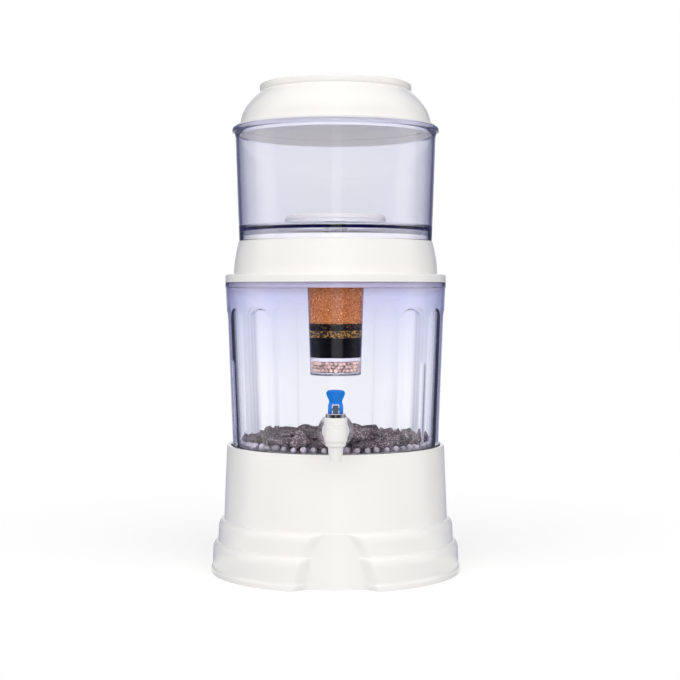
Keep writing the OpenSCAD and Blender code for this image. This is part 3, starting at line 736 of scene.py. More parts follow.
def turned(name: str, outline: Sequence[Point], step: float, closed: bool = True,
           skin: float = 0.0) -> bpy.types.Mesh:
    """Turns one outline round the axis in even steps.

    Args:
        name: The mesh's name.
        outline: Its (radius, height) points in millimetres.
        step: The angle of a step, in degrees.
        closed: Whether the last point joins the first.
        skin: What its points carry in the attribute "skin".

    Returns:
        The mesh, in metres.
    """
    return lathe(name, [(outline, skin)], around(step), closed)


def moved(mesh: bpy.types.Mesh, y: float = 0.0, z: float = 0.0, tip_deg: float = 0.0) -> bpy.types.Mesh:
    """Tips a mesh about X, moves it by millimetres and gives it back."""
    tip = Matrix.Rotation(math.radians(tip_deg), 4, "X")
    mesh.transform(Matrix.Translation((0.0, y * MM, z * MM)) @ tip)
    return mesh


def prism(name: str, outline: Sequence[Point], depth: float, turn: Matrix) -> bpy.types.Object:
    """Extrudes an outline both ways.

    Args:
        name: The object's name.
        outline: Points in millimetres, anticlockwise.
        depth: How far it goes each way, in millimetres.
        turn: The matrix that puts the outline's plane in its place.

    Returns:
        The object.
    """
    bm = bmesh.new()
    low, high = ([bm.verts.new((x * MM, y * MM, z * MM)) for x, y in outline] for z in (-depth, depth))
    bm.faces.new(list(reversed(low)))
    bm.faces.new(high)
    for i, j in zip(range(len(outline)), [*range(1, len(outline)), 0]):
        bm.faces.new((low[i], low[j], high[j], high[i]))
    bmesh.ops.transform(bm, matrix=turn, verts=bm.verts)
    bmesh.ops.recalc_face_normals(bm, faces=bm.faces)
    mesh = bpy.data.meshes.new(name)
    bm.to_mesh(mesh)
    bm.free()
    return add_object(name, mesh)


def joined(name: str, meshes: Sequence[bpy.types.Mesh]) -> bpy.types.Object:
    """Makes one object with the fine edges of turned work of several meshes, which are all in place."""
    bm = bmesh.new()
    for mesh in meshes:
        bm.from_mesh(mesh)
    whole = bpy.data.meshes.new(name)
    bm.to_mesh(whole)
    bm.free()
    return finish_mesh(name, whole, Shade.TURNED)


def baked(piece: bpy.types.Object) -> bpy.types.Object:
    """Applies a piece's modifiers to its mesh and gives it back."""
    graph = bpy.context.evaluated_depsgraph_get()
    mesh = bpy.data.meshes.new_from_object(
        piece.evaluated_get(graph), preserve_all_data_layers=True, depsgraph=graph
    )
    piece.modifiers.clear()
    piece.data = mesh
    return piece


def shaped(piece: bpy.types.Object, other: bpy.types.Object, operation: str) -> bpy.types.Object:
    """Joins a piece to another, cuts it with it or keeps what they share, and removes the other.

    Args:
        piece: The piece that is kept.
        other: The other piece.
        operation: UNION, DIFFERENCE or INTERSECT.

    Returns:
        The piece.
    """
    cut = piece.modifiers.new("Cut", "BOOLEAN")
    cut.operation = operation
    cut.object = other
    cut.solver = "EXACT"
    baked(piece)
    bpy.data.objects.remove(other)
    return piece


def islands(node: str) -> list[tuple[Vector, Vector]]:
    """Finds the separate solids of a node.

    Args:
        node: The node's name.

    Returns:
        The middle and the size of each solid's box, in metres, from the middle of the part outwards.
    """
    bm = bmesh.new()
    bm.from_mesh(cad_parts[node].data)
    bmesh.ops.remove_doubles(bm, verts=bm.verts, dist=TINY)
    seen: set[bmesh.types.BMVert] = set()
    found = []
    for first in bm.verts:
        if first in seen:
            continue
        seen.add(first)
        heap, members = [first], []
        while heap:
            vert = heap.pop()
            members.append(vert.co.copy())
            fresh = {edge.other_vert(vert) for edge in vert.link_edges} - seen
            seen |= fresh
            heap += fresh
        low, high = (Vector(map(pick, *members)) for pick in (min, max))
        found.append(((low + high) / 2, high - low))
    bm.free()
    return sorted(found, key=lambda row: (round(row[0].length, 5), round(row[0].x, 5)))


# ------------------------------------------------------------------ geometry trees


class Growth(NamedTree):
    """A geometry tree that is run on a mesh and leaves a plain mesh."""

    def __init__(self, name: str, inputs: dict[str, Any]) -> None:
        """Makes the tree with a geometry, its sizes and a material as inputs.

        Args:
            name: The tree's name.
            inputs: The default value of each size.
        """
        mesh = {"Geometry": "NodeSocketGeometry"}
        super().__init__(name, Tree.GEOMETRY, {**mesh, **inputs, "Material": "NodeSocketMaterial"}, mesh)

    def real(self, geometry: Any) -> bpy.types.Node:
        """Makes instances real geometry."""
        return self.graph.add("GeometryNodeRealizeInstances", {0: geometry})

    def close(self, geometry: Any) -> None:
        """Ends the tree in real geometry that holds the material."""
        feeds = {"Geometry": self.real(geometry), "Material": self["Material"]}
        self.give(Geometry=self.graph.add("GeometryNodeSetMaterial", feeds))

    def close_moved(self, geometry: Any, **feeds: Any) -> None:
        """Ends the tree with the points of a geometry set to a Position or moved by an Offset."""
        self.close(self.graph.add("GeometryNodeSetPosition", {"Geometry": geometry, **feeds}))

    def close_added(self, geometry: Any) -> None:
        """Ends the tree with a geometry added to the mesh that it started from."""
        both = self.graph.add("GeometryNodeJoinGeometry", {0: geometry})
        self.graph.fill(both, {0: self["Geometry"]})
        self.close(both)

    def attribute(self, name: str, kind: str = "FLOAT") -> Term:
        """Reads a named attribute of the mesh."""
        node = self.graph.add("GeometryNodeInputNamedAttribute", {"Name": name}, data_type=kind)
        return Term(self.graph, node.outputs[0])

    def vector(self, name: str) -> Term:
        """Reads a named vector of the mesh."""
        return self.attribute(name, "FLOAT_VECTOR")

    def marked(self, geometry: Any, name: str, value: Any, kind: str = "FLOAT") -> bpy.types.Node:
        """Stores a value on each point of a geometry.

        Args:
            geometry: The geometry.
            name: The attribute's name.
            value: Its value.
            kind: FLOAT or FLOAT_VECTOR.

        Returns:
            The node that gives the marked geometry.
        """
        feeds = {"Geometry": geometry, "Name": name, "Value": value}
        return self.graph.add("GeometryNodeStoreNamedAttribute", feeds, data_type=kind, domain="POINT")

    def planted(self, points: Any, shape: Any, **feeds: Any) -> bpy.types.Node:
        """Sets an instance of a shape on each point."""
        return self.graph.add("GeometryNodeInstanceOnPoints", {"Points": points, "Instance": shape, **feeds})

    def chance(self, low: Any, high: Any, seed: Any, key: Any = None, kind: str = "FLOAT") -> Term:
        """Gives a random number or vector between two.

        Args:
            low: The least value.
            high: The greatest value.
            seed: The seed.
            key: What sets each element apart, or None for its own number.
            kind: FLOAT or FLOAT_VECTOR.

        Returns:
            The random value.
        """
        first, out = (0, 0) if kind == "FLOAT_VECTOR" else (2, 1)
        feeds = {first: low, first + 1: high, "Seed": seed}
        if key is not None:
            feeds["ID"] = key
        return Term(self.graph, self.graph.add("FunctionNodeRandomValue", feeds, data_type=kind).outputs[out])

    def run(self, name: str, mesh: bpy.types.Mesh, finish: Finish, shade: Shade,
            **sizes: Any) -> bpy.types.Object:
        """Runs the tree on a mesh.

        Args:
            name: The name of the object that it makes.
            mesh: The mesh that it starts from.
            finish: The finish that its Set Material node gives.
            shade: How the result's faces meet.
            **sizes: Values of the tree's inputs, with _ for a space.

        Returns:
            An object with a plain mesh.
        """
        host = add_object(name, mesh)
        modifier = host.modifiers.new(self.tree.name, "NODES")
        modifier.node_group = self.tree
        sockets = {
            item.name: item.identifier
            for item in self.tree.interface.items_tree
            if item.item_type == "SOCKET" and item.in_out == "INPUT"
        }
        modifier[sockets["Material"]] = finish.material()
        for label, value in sizes.items():
            modifier[sockets[label.replace("_", " ")]] = value
        return finish_mesh(name, taken(baked(host)), shade)


def polar(g: Graph) -> tuple[Term, Term, Term, Term, Term]:
    """Reads a point's x, y and z, its radius and its angle from the front."""
    x, y, z = g.parts(g.add("GeometryNodeInputPosition"))
    return x, y, z, g.calc("SQRT", x * x + y * y), g.calc("ARCTAN2", x, -y)


def flute_tree() -> Growth:
    """Builds the tree that moulds the flutes, the grooves and the back panel into a tank's wall."""
    growth = Growth("FlutedWall", {
        "First Flute": 0.7, "Pitch": 0.375, "Flutes a Side": 6, "Inset": 0.001, "Half Width": 0.0167,
        "Flute Top": 0.3036, "Flatness": 0.75, "Arch Share": 0.97, "Groove Radius": 0.03,
        "Groove Depth": 0.0004, "Groove Top": 0.24, "Groove Angles": (0.0, 0.0, 0.0),
        "Panel Half Angle": 0.4, "Panel Depth": 0.0006, "Panel Top": 0.3, "Panel Edge": 0.008, "Edge": 0.0022,
    })
    g = growth.graph
    x, y, z, flat, turn = polar(g)
    side = abs(turn)

    def below(top: Term) -> Term:
        """Gives 1 below a height and 0 above it, with the soft edge between."""
        return g.calc("DIVIDE", top - z, growth["Edge"], clamp=True)

    nearest = g.calc("ROUND", (side - growth["First Flute"]) / growth["Pitch"])
    number = g.calc("MINIMUM", g.positive(nearest), growth["Flutes a Side"] - 1.0)
    off = side - (number * growth["Pitch"] + growth["First Flute"])
    plane = (flat - growth["Inset"]) / g.calc("COSINE", off)
    corner = growth["Half Width"] * growth["Arch Share"]
    over = g.positive(abs(flat * g.calc("SINE", off)) - (growth["Half Width"] - corner))
    arch = growth["Flute Top"] - corner + g.calc("SQRT", g.positive(corner * corner - over * over))
    depth = g.positive(flat - plane) * growth["Flatness"] * below(arch)
    radius = growth["Groove Radius"]
    height = g.positive(z - (growth["Groove Top"] - radius))
    for angle in g.parts(growth["Groove Angles"]):
        away = turn - angle
        lateral = flat * g.calc("SINE", away)
        square = g.positive(radius * radius - lateral * lateral - height * height)
        sunk = g.positive(g.calc("SQRT", square) - (radius - growth["Groove Depth"]))
        depth = depth + sunk * g.calc("GREATER_THAN", g.calc("COSINE", away), 0.5)
    back = side - (math.pi - growth["Panel Half Angle"])
    panel = g.calc("DIVIDE", back, growth["Panel Edge"], clamp=True) * below(growth["Panel Top"])
    depth = (depth + panel * growth["Panel Depth"]) * growth.attribute("skin")
    share = (flat - depth) / flat
    spot = g.add("ShaderNodeCombineXYZ", {0: x * share, 1: y * share, 2: z})
    growth.close_moved(growth["Geometry"], Position=spot)
    return growth


def niche_tree() -> Growth:
    """Builds the tree that presses the cup niche into the steps of the base."""
    growth = Growth("CupNiche", {
        "Foot Half Width": 0.0412, "Height": 0.063, "Soft Edge": 0.008, "Bell": 0.28,
    })
    g, height, edge = growth.graph, growth["Height"], growth["Soft Edge"]
    x, y, z, flat, _ = polar(g)
    target = growth.attribute("skin")
    share = 1.0 - g.calc("DIVIDE", z, height, clamp=True)
    half = growth["Foot Half Width"] * g.calc("POWER", share, growth["Bell"])
    fade = g.step(half - abs(x) - g.positive(z - height), -edge, edge)
    front = g.calc("LESS_THAN", y, 0.0) * g.calc("GREATER_THAN", target, 0.0)
    radius = g.mix(fade * front, flat, g.calc("MINIMUM", flat, target))
    factor = radius / g.calc("MAXIMUM", flat, TINY)
    spot = g.add("ShaderNodeCombineXYZ", {0: x * factor, 1: y * factor, 2: z})
    growth.close_moved(growth["Geometry"], Position=spot)
    return growth


def rock_tree(facets: int = 8) -> Growth:
    """Builds the tree that grows a broken stone at each point.

    Args:
        facets: How many flat faces are broken off each stone.

    Returns:
        The tree.
    """
    growth = Growth("BrokenStones", {
        "Lumps": 0.02, "Least Cut": 0.4, "Most Cut": 0.72, "Least Top": 0.5, "Most Top": 0.85, "Seed": 3,
    })
    g, seed = growth.graph, growth["Seed"]
    ball = g.add("GeometryNodeMeshIcoSphere", {"Radius": 1.0, "Subdivisions": 4})
    ball = growth.marked(ball, "unit", g.add("GeometryNodeInputPosition"), "FLOAT_VECTOR")
    stones = growth.planted(growth["Geometry"], ball)
    number = growth.attribute("number", "INT")
    unit = growth.vector("unit")

    def broken(shape: Term, way: Term, limit: Term) -> Term:
        """Breaks off what stands out past a limit in one direction."""
        way = g.vector("NORMALIZE", way)
        over = g.positive(g.vector("DOT_PRODUCT", shape, way) - limit)
        return g.vector("SUBTRACT", shape, g.vector("SCALE", way, scale=over))

    lean = growth.chance((-0.35, -0.35, 1.0), (0.35, 0.35, 1.0), seed + 5.0, number, "FLOAT_VECTOR")
    shape = broken(unit, lean, growth.chance(growth["Least Top"], growth["Most Top"], seed + 6.0, number))
    for k in range(facets):
        cut_seed = seed + 7.0 * k
        way = growth.chance((-1.0,) * 3, (1.0,) * 3, cut_seed, number, "FLOAT_VECTOR")
        limit = growth.chance(growth["Least Cut"], growth["Most Cut"], cut_seed + 3.0, number)
        shape = broken(shape, way, limit)
    lump = (g.noise(unit, 1.9, 3.0, W=number * 3.7) - 0.5) * growth["Lumps"]
    shape = g.vector("ADD", shape, g.vector("SCALE", unit, scale=lump))
    feeds = {"Vector": g.vector("MULTIPLY", shape, growth.vector("size")), "Rotation": growth.vector("turn")}
    spun = g.add("ShaderNodeVectorRotate", feeds, rotation_type="EULER_XYZ")
    growth.close_moved(growth.real(stones), Position=g.vector("ADD", spun, growth.vector("centre")))
    return growth


@cache
def ball_tree() -> Growth:
    """Builds the tree that sets a slightly uneven ball on each point."""
    growth = Growth("BallBed", {"Segments": 18, "Rings": 10, "Unevenness": 0.3})
    g = growth.graph
    feeds = {"Segments": growth["Segments"], "Rings": growth["Rings"], "Radius": 0.5}
    ball = g.add("GeometryNodeMeshUVSphere", feeds)
    balls = growth.planted(growth["Geometry"], ball, Scale=growth.vector("size"),
                           Rotation=growth.vector("turn"))
    spot = g.add("GeometryNodeInputPosition")
    away = g.vector("SUBTRACT", spot, growth.vector("centre"))
    swell = (g.noise(spot, 130.0, 1.0) - 0.5) * growth["Unevenness"]
    growth.close_moved(growth.real(balls), Offset=g.vector("SCALE", away, scale=swell))
    return growth


@cache
def grain_tree() -> Growth:
    """Builds the tree that packs grains over a surface, against the wall that holds them."""
    growth = Growth("PackedGrains", {
        "Spacing": 0.0015, "Density": 4000000.0, "Least": 0.8, "Most": 1.2, "Grain": 0.0008, "Stretch": 0.0,
        "Detail": 1, "Seed": 5,
    })
    g, seed = growth.graph, growth["Seed"]
    feeds = {"Mesh": growth["Geometry"], "Distance Min": growth["Spacing"], "Density Max": growth["Density"],
             "Density Factor": growth.attribute("skin"), "Seed": seed}
    spots = g.add("GeometryNodeDistributePointsOnFaces", feeds, distribute_method="POISSON")
    marked = growth.marked(spots, "tone", growth.chance(0.0, 1.0, seed))
    grain = g.add("GeometryNodeMeshIcoSphere", {"Radius": growth["Grain"], "Subdivisions": growth["Detail"]})
    stretch = growth["Stretch"]
    low, high = (g.add("ShaderNodeCombineXYZ", dict.fromkeys(range(3), side))
                 for side in (1.0 - stretch, stretch + 1.0))
    size = growth.chance(growth["Least"], growth["Most"], 12)
    scale = g.vector("SCALE", growth.chance(low, high, 11, kind="FLOAT_VECTOR"), scale=size)
    turn = growth.chance((0.0,) * 3, (6.28,) * 3, 13, kind="FLOAT_VECTOR")
    growth.close_added(growth.planted(marked, grain, Scale=scale, Rotation=turn))
    return growth


@cache
def thread_tree() -> Growth:
    """Builds the tree that winds a screw thread or a spring."""
    growth = Growth("ScrewThread", {
        "Radius": 0.008, "Pitch": 0.002, "Length": 0.02, "Ridge": 0.0007, "Sides": 5,
    })
    g, radius, length = growth.graph, growth["Radius"], growth["Length"]
    spiral = g.add("GeometryNodeCurveSpiral", {
        "Resolution": 40, "Rotations": length / growth["Pitch"], "Start Radius": radius, "End Radius": radius,
        "Height": length,
    })
    feeds = {"Resolution": growth["Sides"], "Radius": growth["Ridge"]}
    ridge = g.add("GeometryNodeCurvePrimitiveCircle", feeds, mode="RADIUS")
    feeds = {"Curve": spiral, "Profile Curve": ridge, "Fill Caps": True}
    growth.close_added(g.add("GeometryNodeCurveToMesh", feeds))
    return growth


def wound(name: str, finish: Finish, shade: Shade, radius: float, pitch: float, length: float, ridge: float,
          **sizes: Any) -> bpy.types.Object:
    """Winds a screw thread or a spring up the axis.

    Args:
        name: The object's name.
        finish: Its finish.
        shade: How its faces meet.
        radius: The radius to the middle of the ridge or wire, in millimetres.
        pitch: How far it rises in a turn.
        length: How far it rises in all.
        ridge: The half thickness of the ridge or wire.
        **sizes: Values of the tree's other inputs.

    Returns:
        The object.
    """
    return thread_tree().run(name, bpy.data.meshes.new(name), finish, shade, Radius=radius * MM,
                             Pitch=pitch * MM, Length=length * MM, Ridge=ridge * MM, **sizes)


def drill_tree() -> Growth:
    """Builds the tree that drills rings of holes through a floor."""
    growth = Growth("DrilledFloor", {"Hole": 0.0012, "Depth": 0.01, "Height": 0.2258})
    g = growth.graph
    pin = g.add("GeometryNodeMeshCylinder",
                {"Vertices": 12, "Radius": growth["Hole"], "Depth": growth["Depth"]})
    rings = g.add("GeometryNodeJoinGeometry")
    for radius, count in Cartridge.outlet_rings:
        g.fill(rings, {0: g.add("GeometryNodeMeshCircle", {"Vertices": count, "Radius": radius * MM})})
    rise = g.add("ShaderNodeCombineXYZ", {2: growth["Height"]})
    pins = growth.planted(g.add("GeometryNodeTransform", {"Geometry": rings, "Translation": rise}), pin)
    feeds = {"Mesh 1": growth["Geometry"], "Mesh 2": growth.real(pins)}
    growth.close(g.add("GeometryNodeMeshBoolean", feeds, operation="DIFFERENCE", solver="EXACT"))
    return growth


Grain = tuple[Vector, Vector, Vector, float]


def point_mesh(name: str, rows: Sequence[Grain]) -> bpy.types.Mesh:
    """Makes a mesh of loose points for a tree to work on.

    Args:
        name: The mesh's name.
        rows: Place, size, turn and tone of each point, in metres and radians.

    Returns:
        The mesh, with the attributes centre, size, turn, tone and number.
    """
    mesh = bpy.data.meshes.new(name)
    mesh.from_pydata([row[0] for row in rows], [], [])
    for label, column in (("centre", 0), ("size", 1), ("turn", 2)):
        flat = [value for row in rows for value in row[column]]
        mesh.attributes.new(label, "FLOAT_VECTOR", "POINT").data.foreach_set("vector", flat)
    mesh.attributes.new("tone", "FLOAT", "POINT").data.foreach_set("value", [row[3] for row in rows])
    mesh.attributes.new("number", "INT", "POINT").data.foreach_set("value", list(range(len(rows))))
    return mesh


# ------------------------------------------------------------------ sub-assemblies


class SubAssembly:
    """Pieces that ride on one body."""

    body: str

    def fit(self, piece: bpy.types.Object, finish: Finish, slot: str, node: str) -> None:
        """Finishes a piece and fixes it to the body.

        Args:
            piece: The piece.
            finish: Its finish.
            slot: The record's material slot; not used.
            node: The node that it stands for.
        """
        piece.data.materials.clear()
        piece.data.materials.append(finish.material())
        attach(piece, self.body)
        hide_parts(node)
        LOG.info("%s on %s, %d faces, for %s", piece.name, self.body, len(piece.data.polygons), node)

    def fit_mesh(self, mesh: bpy.types.Mesh, finish: Finish, slot: str, node: str) -> None:
        """Makes a moulded piece of a mesh and fixes it to the body, as fit does."""
        self.fit(finish_mesh(mesh.name, mesh), finish, slot, node)

    def dress(self, **finishes: Finish) -> None:
        """Gives nodes of the frame, which keep their shapes, their finishes."""
        for node, finish in finishes.items():
            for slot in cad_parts[node].material_slots:
                slot.material = finish.material()
            LOG.info("%s keeps its shape, in %s", node, finish.name)


@dataclass
class BaseStand(SubAssembly):
    """The stepped base with its rolled rim, its ledge and the cup niche."""

    body = "base"
    height: float = 146.0
    wall: float = 3.0
    ledge: float = 120.0
    collar: float = 120.94
    rim: float = 125.94
    rim_h: float = 3.0
    drum: float = 129.14
    foot: float = 144.13
    foot_h: float = 5.2
    lower_step: Point = (142.14, 24.5)
    upper_step: Point = (135.64, 50.0)
    shoulder: float = 11.0
    step_edge: float = 1.6
    niche_gap: float = 0.4
    niche_top: float = 66.0
    fine_front: Triple = (-24.0, 24.0, 0.5)

    def steps(self, inset: float) -> list[Point]:
        """Gives the stepped side from the floor up, moved in by the inset."""
        low_r, low_z = self.lower_step
        up_r, up_z = self.upper_step
        foot = self.foot - inset
        rows = [(foot, 0.0, 0.0), (foot, self.foot_h, self.step_edge), (low_r + 0.5 - inset, 7.8, 1.4)]
        for (r, z), next_r in (((low_r, low_z), up_r + 0.5), ((up_r, up_z), self.drum)):
            rows += quarter(r - inset, z - inset, next_r - inset, z + self.shoulder - inset)
            rows[-1] = (*rows[-1][:2], self.step_edge)
        top = self.height - 3.2 if inset == 0 else self.ledge - self.wall
        share = (top - up_z) / (self.height - up_z)
        rows.append((self.drum + (self.rim - self.drum) * share - inset, top, 0.0))
        return divided(soften(rows), 1.4, -1.0, self.niche_top)

    def build(self) -> None:
        """Builds the base."""
        niche_r = (self.drum + self.niche_gap) * MM
        crown = soften([
            (self.rim, self.height - self.rim_h, 0.0), (self.rim, self.height, 2.6),
            (self.collar + 0.1, self.height, 2.0), (self.collar, self.ledge + 6.0, 0.0),
            (self.collar, self.ledge, 1.0), (0.0, self.ledge, 0.0),
        ], 7)
        inside = [(0.0, self.ledge - self.wall), *reversed(self.steps(self.wall))]
        strips = [(self.steps(0.0), niche_r), (crown, 0.0), (inside, niche_r - self.wall * MM)]
        mesh = lathe("base_stand", strips, around(1.5, [self.fine_front]))
        piece = niche_tree().run("base_stand", mesh, SHELL_WHITE, Shade.MOULDED)
        self.fit(piece, SHELL_WHITE, "white_shell", "base_shell")


@dataclass
class LowerTank(SubAssembly):
    """The fluted tank with the stones and the balls on its floor."""

    body = "lower_tank_body"
    wall_runs = ((145, 152, 3.5), (152, 192.5, 1.35), (192.5, 236, 11), (236, 256, 1.2), (256, 284, 14),
                 (284, 305, 0.8), (305, 326.2, 5.3))
    low_r: float = 120.0
    mouth_r: float = 127.0
    lip: float = 0.6
    floor: float = 145.0
    band: float = 326.2
    rim: float = 332.6
    wall: float = 3.0
    foot_r: float = 116.0
    ledge: float = 120.0
    first_deg: float = 41.0
    pitch_deg: float = 21.5
    half_deg: float = 7.6
    flutes_a_side: int = 6
    flute_top: float = 303.6
    groove_degs: Triple = (-73.25, -30.25, 51.75)
    groove_top: float = 269.5
    panel_half_deg: float = 23.0
    panel_drop: float = 2.0
    pad_z: float = 172.0
    pad_r: float = 19.4
    pad_front: float = 122.54
    pad_depth: float = 3.6
    stone_seed: int = 41
    stone_count: int = 84
    stone_tries: int = 3000
    stone_half: Point = (8.0, 11.0)
    stone_reach: float = 100.0
    stone_edge: float = 112.0
    stone_closeness: float = 0.6
    ball_seed: int = 7
    ball_drift: float = 1.2

    def wall_r(self, z: float) -> float:
        """Gives the wall's outer radius at a height."""
        return self.low_r + (self.mouth_r - self.low_r) * (z - self.floor) / (self.band - self.floor)

    def outline(self) -> list[tuple[list[Point], float]]:
        """Gives the tank's outline, with 1 for the wall that takes the flutes and 0 for the rest."""
        under = soften([
            (0.0, self.floor - self.wall, 0.0), (self.foot_r - self.wall, self.floor - self.wall, 1.5),
            (self.foot_r - self.wall, self.ledge, 0.8), (self.foot_r, self.ledge, 0.8),
            (self.foot_r, self.floor - 5.0, 1.5), (self.low_r - 0.6, self.floor - 2.2, 2.0),
            (self.low_r, self.floor, 0.0),
        ])
        wall = [(self.low_r, self.floor)]
        for low, high, step in self.wall_runs:
            count = math.ceil((high - low) / step)
            heights = [low + (high - low) * k / count for k in range(1, count + 1)]
            wall += [(self.wall_r(z), z) for z in heights]
        in_r, lip_r = self.mouth_r - self.wall, self.mouth_r + self.lip
        crown = soften([
            (self.mouth_r, self.band, 0.0), (lip_r, self.band + 0.7, 0.3), (lip_r, self.rim, 0.9),
            (in_r, self.rim, 0.9), (in_r - 0.3, self.band, 0.0), (self.low_r - self.wall, self.floor, 2.2),
            (0.0, self.floor, 0.0),
        ], 6)
        return [(under, 0.0), (wall, 1.0), (crown, 0.0)]

    def pad(self) -> bpy.types.Object:
        """Builds the flat pad that the tap's washer seats on."""
        back = self.pad_front - self.pad_depth
        rows = [(0.0, back, 0.0), (self.pad_r, back, 0.0), (self.pad_r, self.pad_front, 0.5),
                (0.0, self.pad_front, 0.0)]
        disc = turned("tap_pad", soften(rows), 3.0, closed=False)
        return finish_mesh("tap_pad", moved(disc, z=self.pad_z, tip_deg=90))

    def shell(self) -> bpy.types.Object:
        """Builds the tank's wall and floor."""
        half = math.radians(self.half_deg)
        tank = flute_tree().run(
            "lower_tank_wall", lathe("lower_tank_wall", self.outline(), around(0.75), closed=False),
            LILAC_TANK, Shade.MOULDED,
            First_Flute=math.radians(self.first_deg), Pitch=math.radians(self.pitch_deg),
            Flutes_a_Side=self.flutes_a_side, Inset=self.low_r * (1 - math.cos(half)) * MM,
            Half_Width=self.wall_r(self.flute_top) * math.sin(half) * MM, Flute_Top=self.flute_top * MM,
            Groove_Top=self.groove_top * MM, Groove_Angles=tuple(math.radians(a) for a in self.groove_degs),
            Panel_Half_Angle=math.radians(self.panel_half_deg),
            Panel_Top=(self.flute_top - self.panel_drop) * MM,
        )
        return finish_mesh("lower_tank_wall", taken(shaped(tank, self.pad(), "UNION")))

    def stones(self) -> list[Grain]:
        """Gives the place, half size, turn and tone of each stone, with small ones in the free places."""
        chance = random.Random(self.stone_seed)
        rows: list[Grain] = []
        for centre, extent in islands("mineral_stones"):
            flat = max(extent.x, extent.y) * chance.uniform(0.6, 0.74)
            low = 0.48 - 0.16 * min(max((centre.y + 0.04) / 0.1, 0.0), 1.0)
            wide, deep = flat * chance.uniform(1.0, 1.25), flat * chance.uniform(0.85, 1.0)
            size = Vector((wide, deep, extent.z * low))
            spot = Vector((centre.x, centre.y, self.floor * MM + size.z * 0.92))
            rows.append((spot, size, self.turn(chance), chance.random()))
        placed = [(spot, size.x) for spot, size, _, _ in rows]
        for _ in range(self.stone_tries):
            if len(rows) == self.stone_count:
                break
            reach = self.stone_reach * MM * math.sqrt(chance.random())
            angle = chance.uniform(0.0, math.tau)
            half = chance.uniform(*self.stone_half) * MM
            spot = Vector((reach * math.cos(angle), reach * math.sin(angle), self.floor * MM + half * 0.7))
            if reach + half > self.stone_edge * MM or any(
                (spot - other).xy.length < self.stone_closeness * (half + r) for other, r in placed
            ):
                continue
            placed.append((spot, half))
            size = Vector((half * 1.15, half, half * chance.uniform(0.6, 0.8)))
            rows.append((spot, size, self.turn(chance), chance.random()))
        return rows

    @staticmethod
    def turn(chance: random.Random) -> Vector:
        """Gives a stone's turn: a small tilt and any heading."""
        tilt = (chance.uniform(-0.16, 0.16), chance.uniform(-0.16, 0.16))
        return Vector((*tilt, chance.uniform(0.0, math.tau)))

    def balls(self) -> list[Grain]:
        """Gives the place, size, turn and tone of each ball."""
        chance = random.Random(self.ball_seed)
        drift = self.ball_drift
        rows: list[Grain] = []
        for centre, extent in islands("mineral_balls"):
            share = chance.uniform(0.7, 1.0)
            spot = centre + Vector((chance.uniform(-drift, drift), chance.uniform(-drift, drift), 0.0)) * MM
            spot.z -= extent.z * (1.0 - share) / 2
            rows.append((spot, extent * share, self.turn(chance), chance.uniform(0.0, 0.7)))
        return rows

    def build(self) -> None:
        """Builds the tank and what lies in it."""
        self.fit(self.shell(), LILAC_TANK, "clear_tank", "lower_tank")
        points = point_mesh("stone_points", self.stones())
        rocks = rock_tree().run("stone_bed", points, GREY_ROCK, Shade.TURNED)
        self.fit(rocks, GREY_ROCK, "grey_stone", "mineral_stones")
        points = point_mesh("ball_points", self.balls())
        balls = ball_tree().run("ball_ring", points, WHITE_PEBBLE, Shade.ROUND)
        self.fit(balls, WHITE_PEBBLE, "pale_mineral", "mineral_balls")


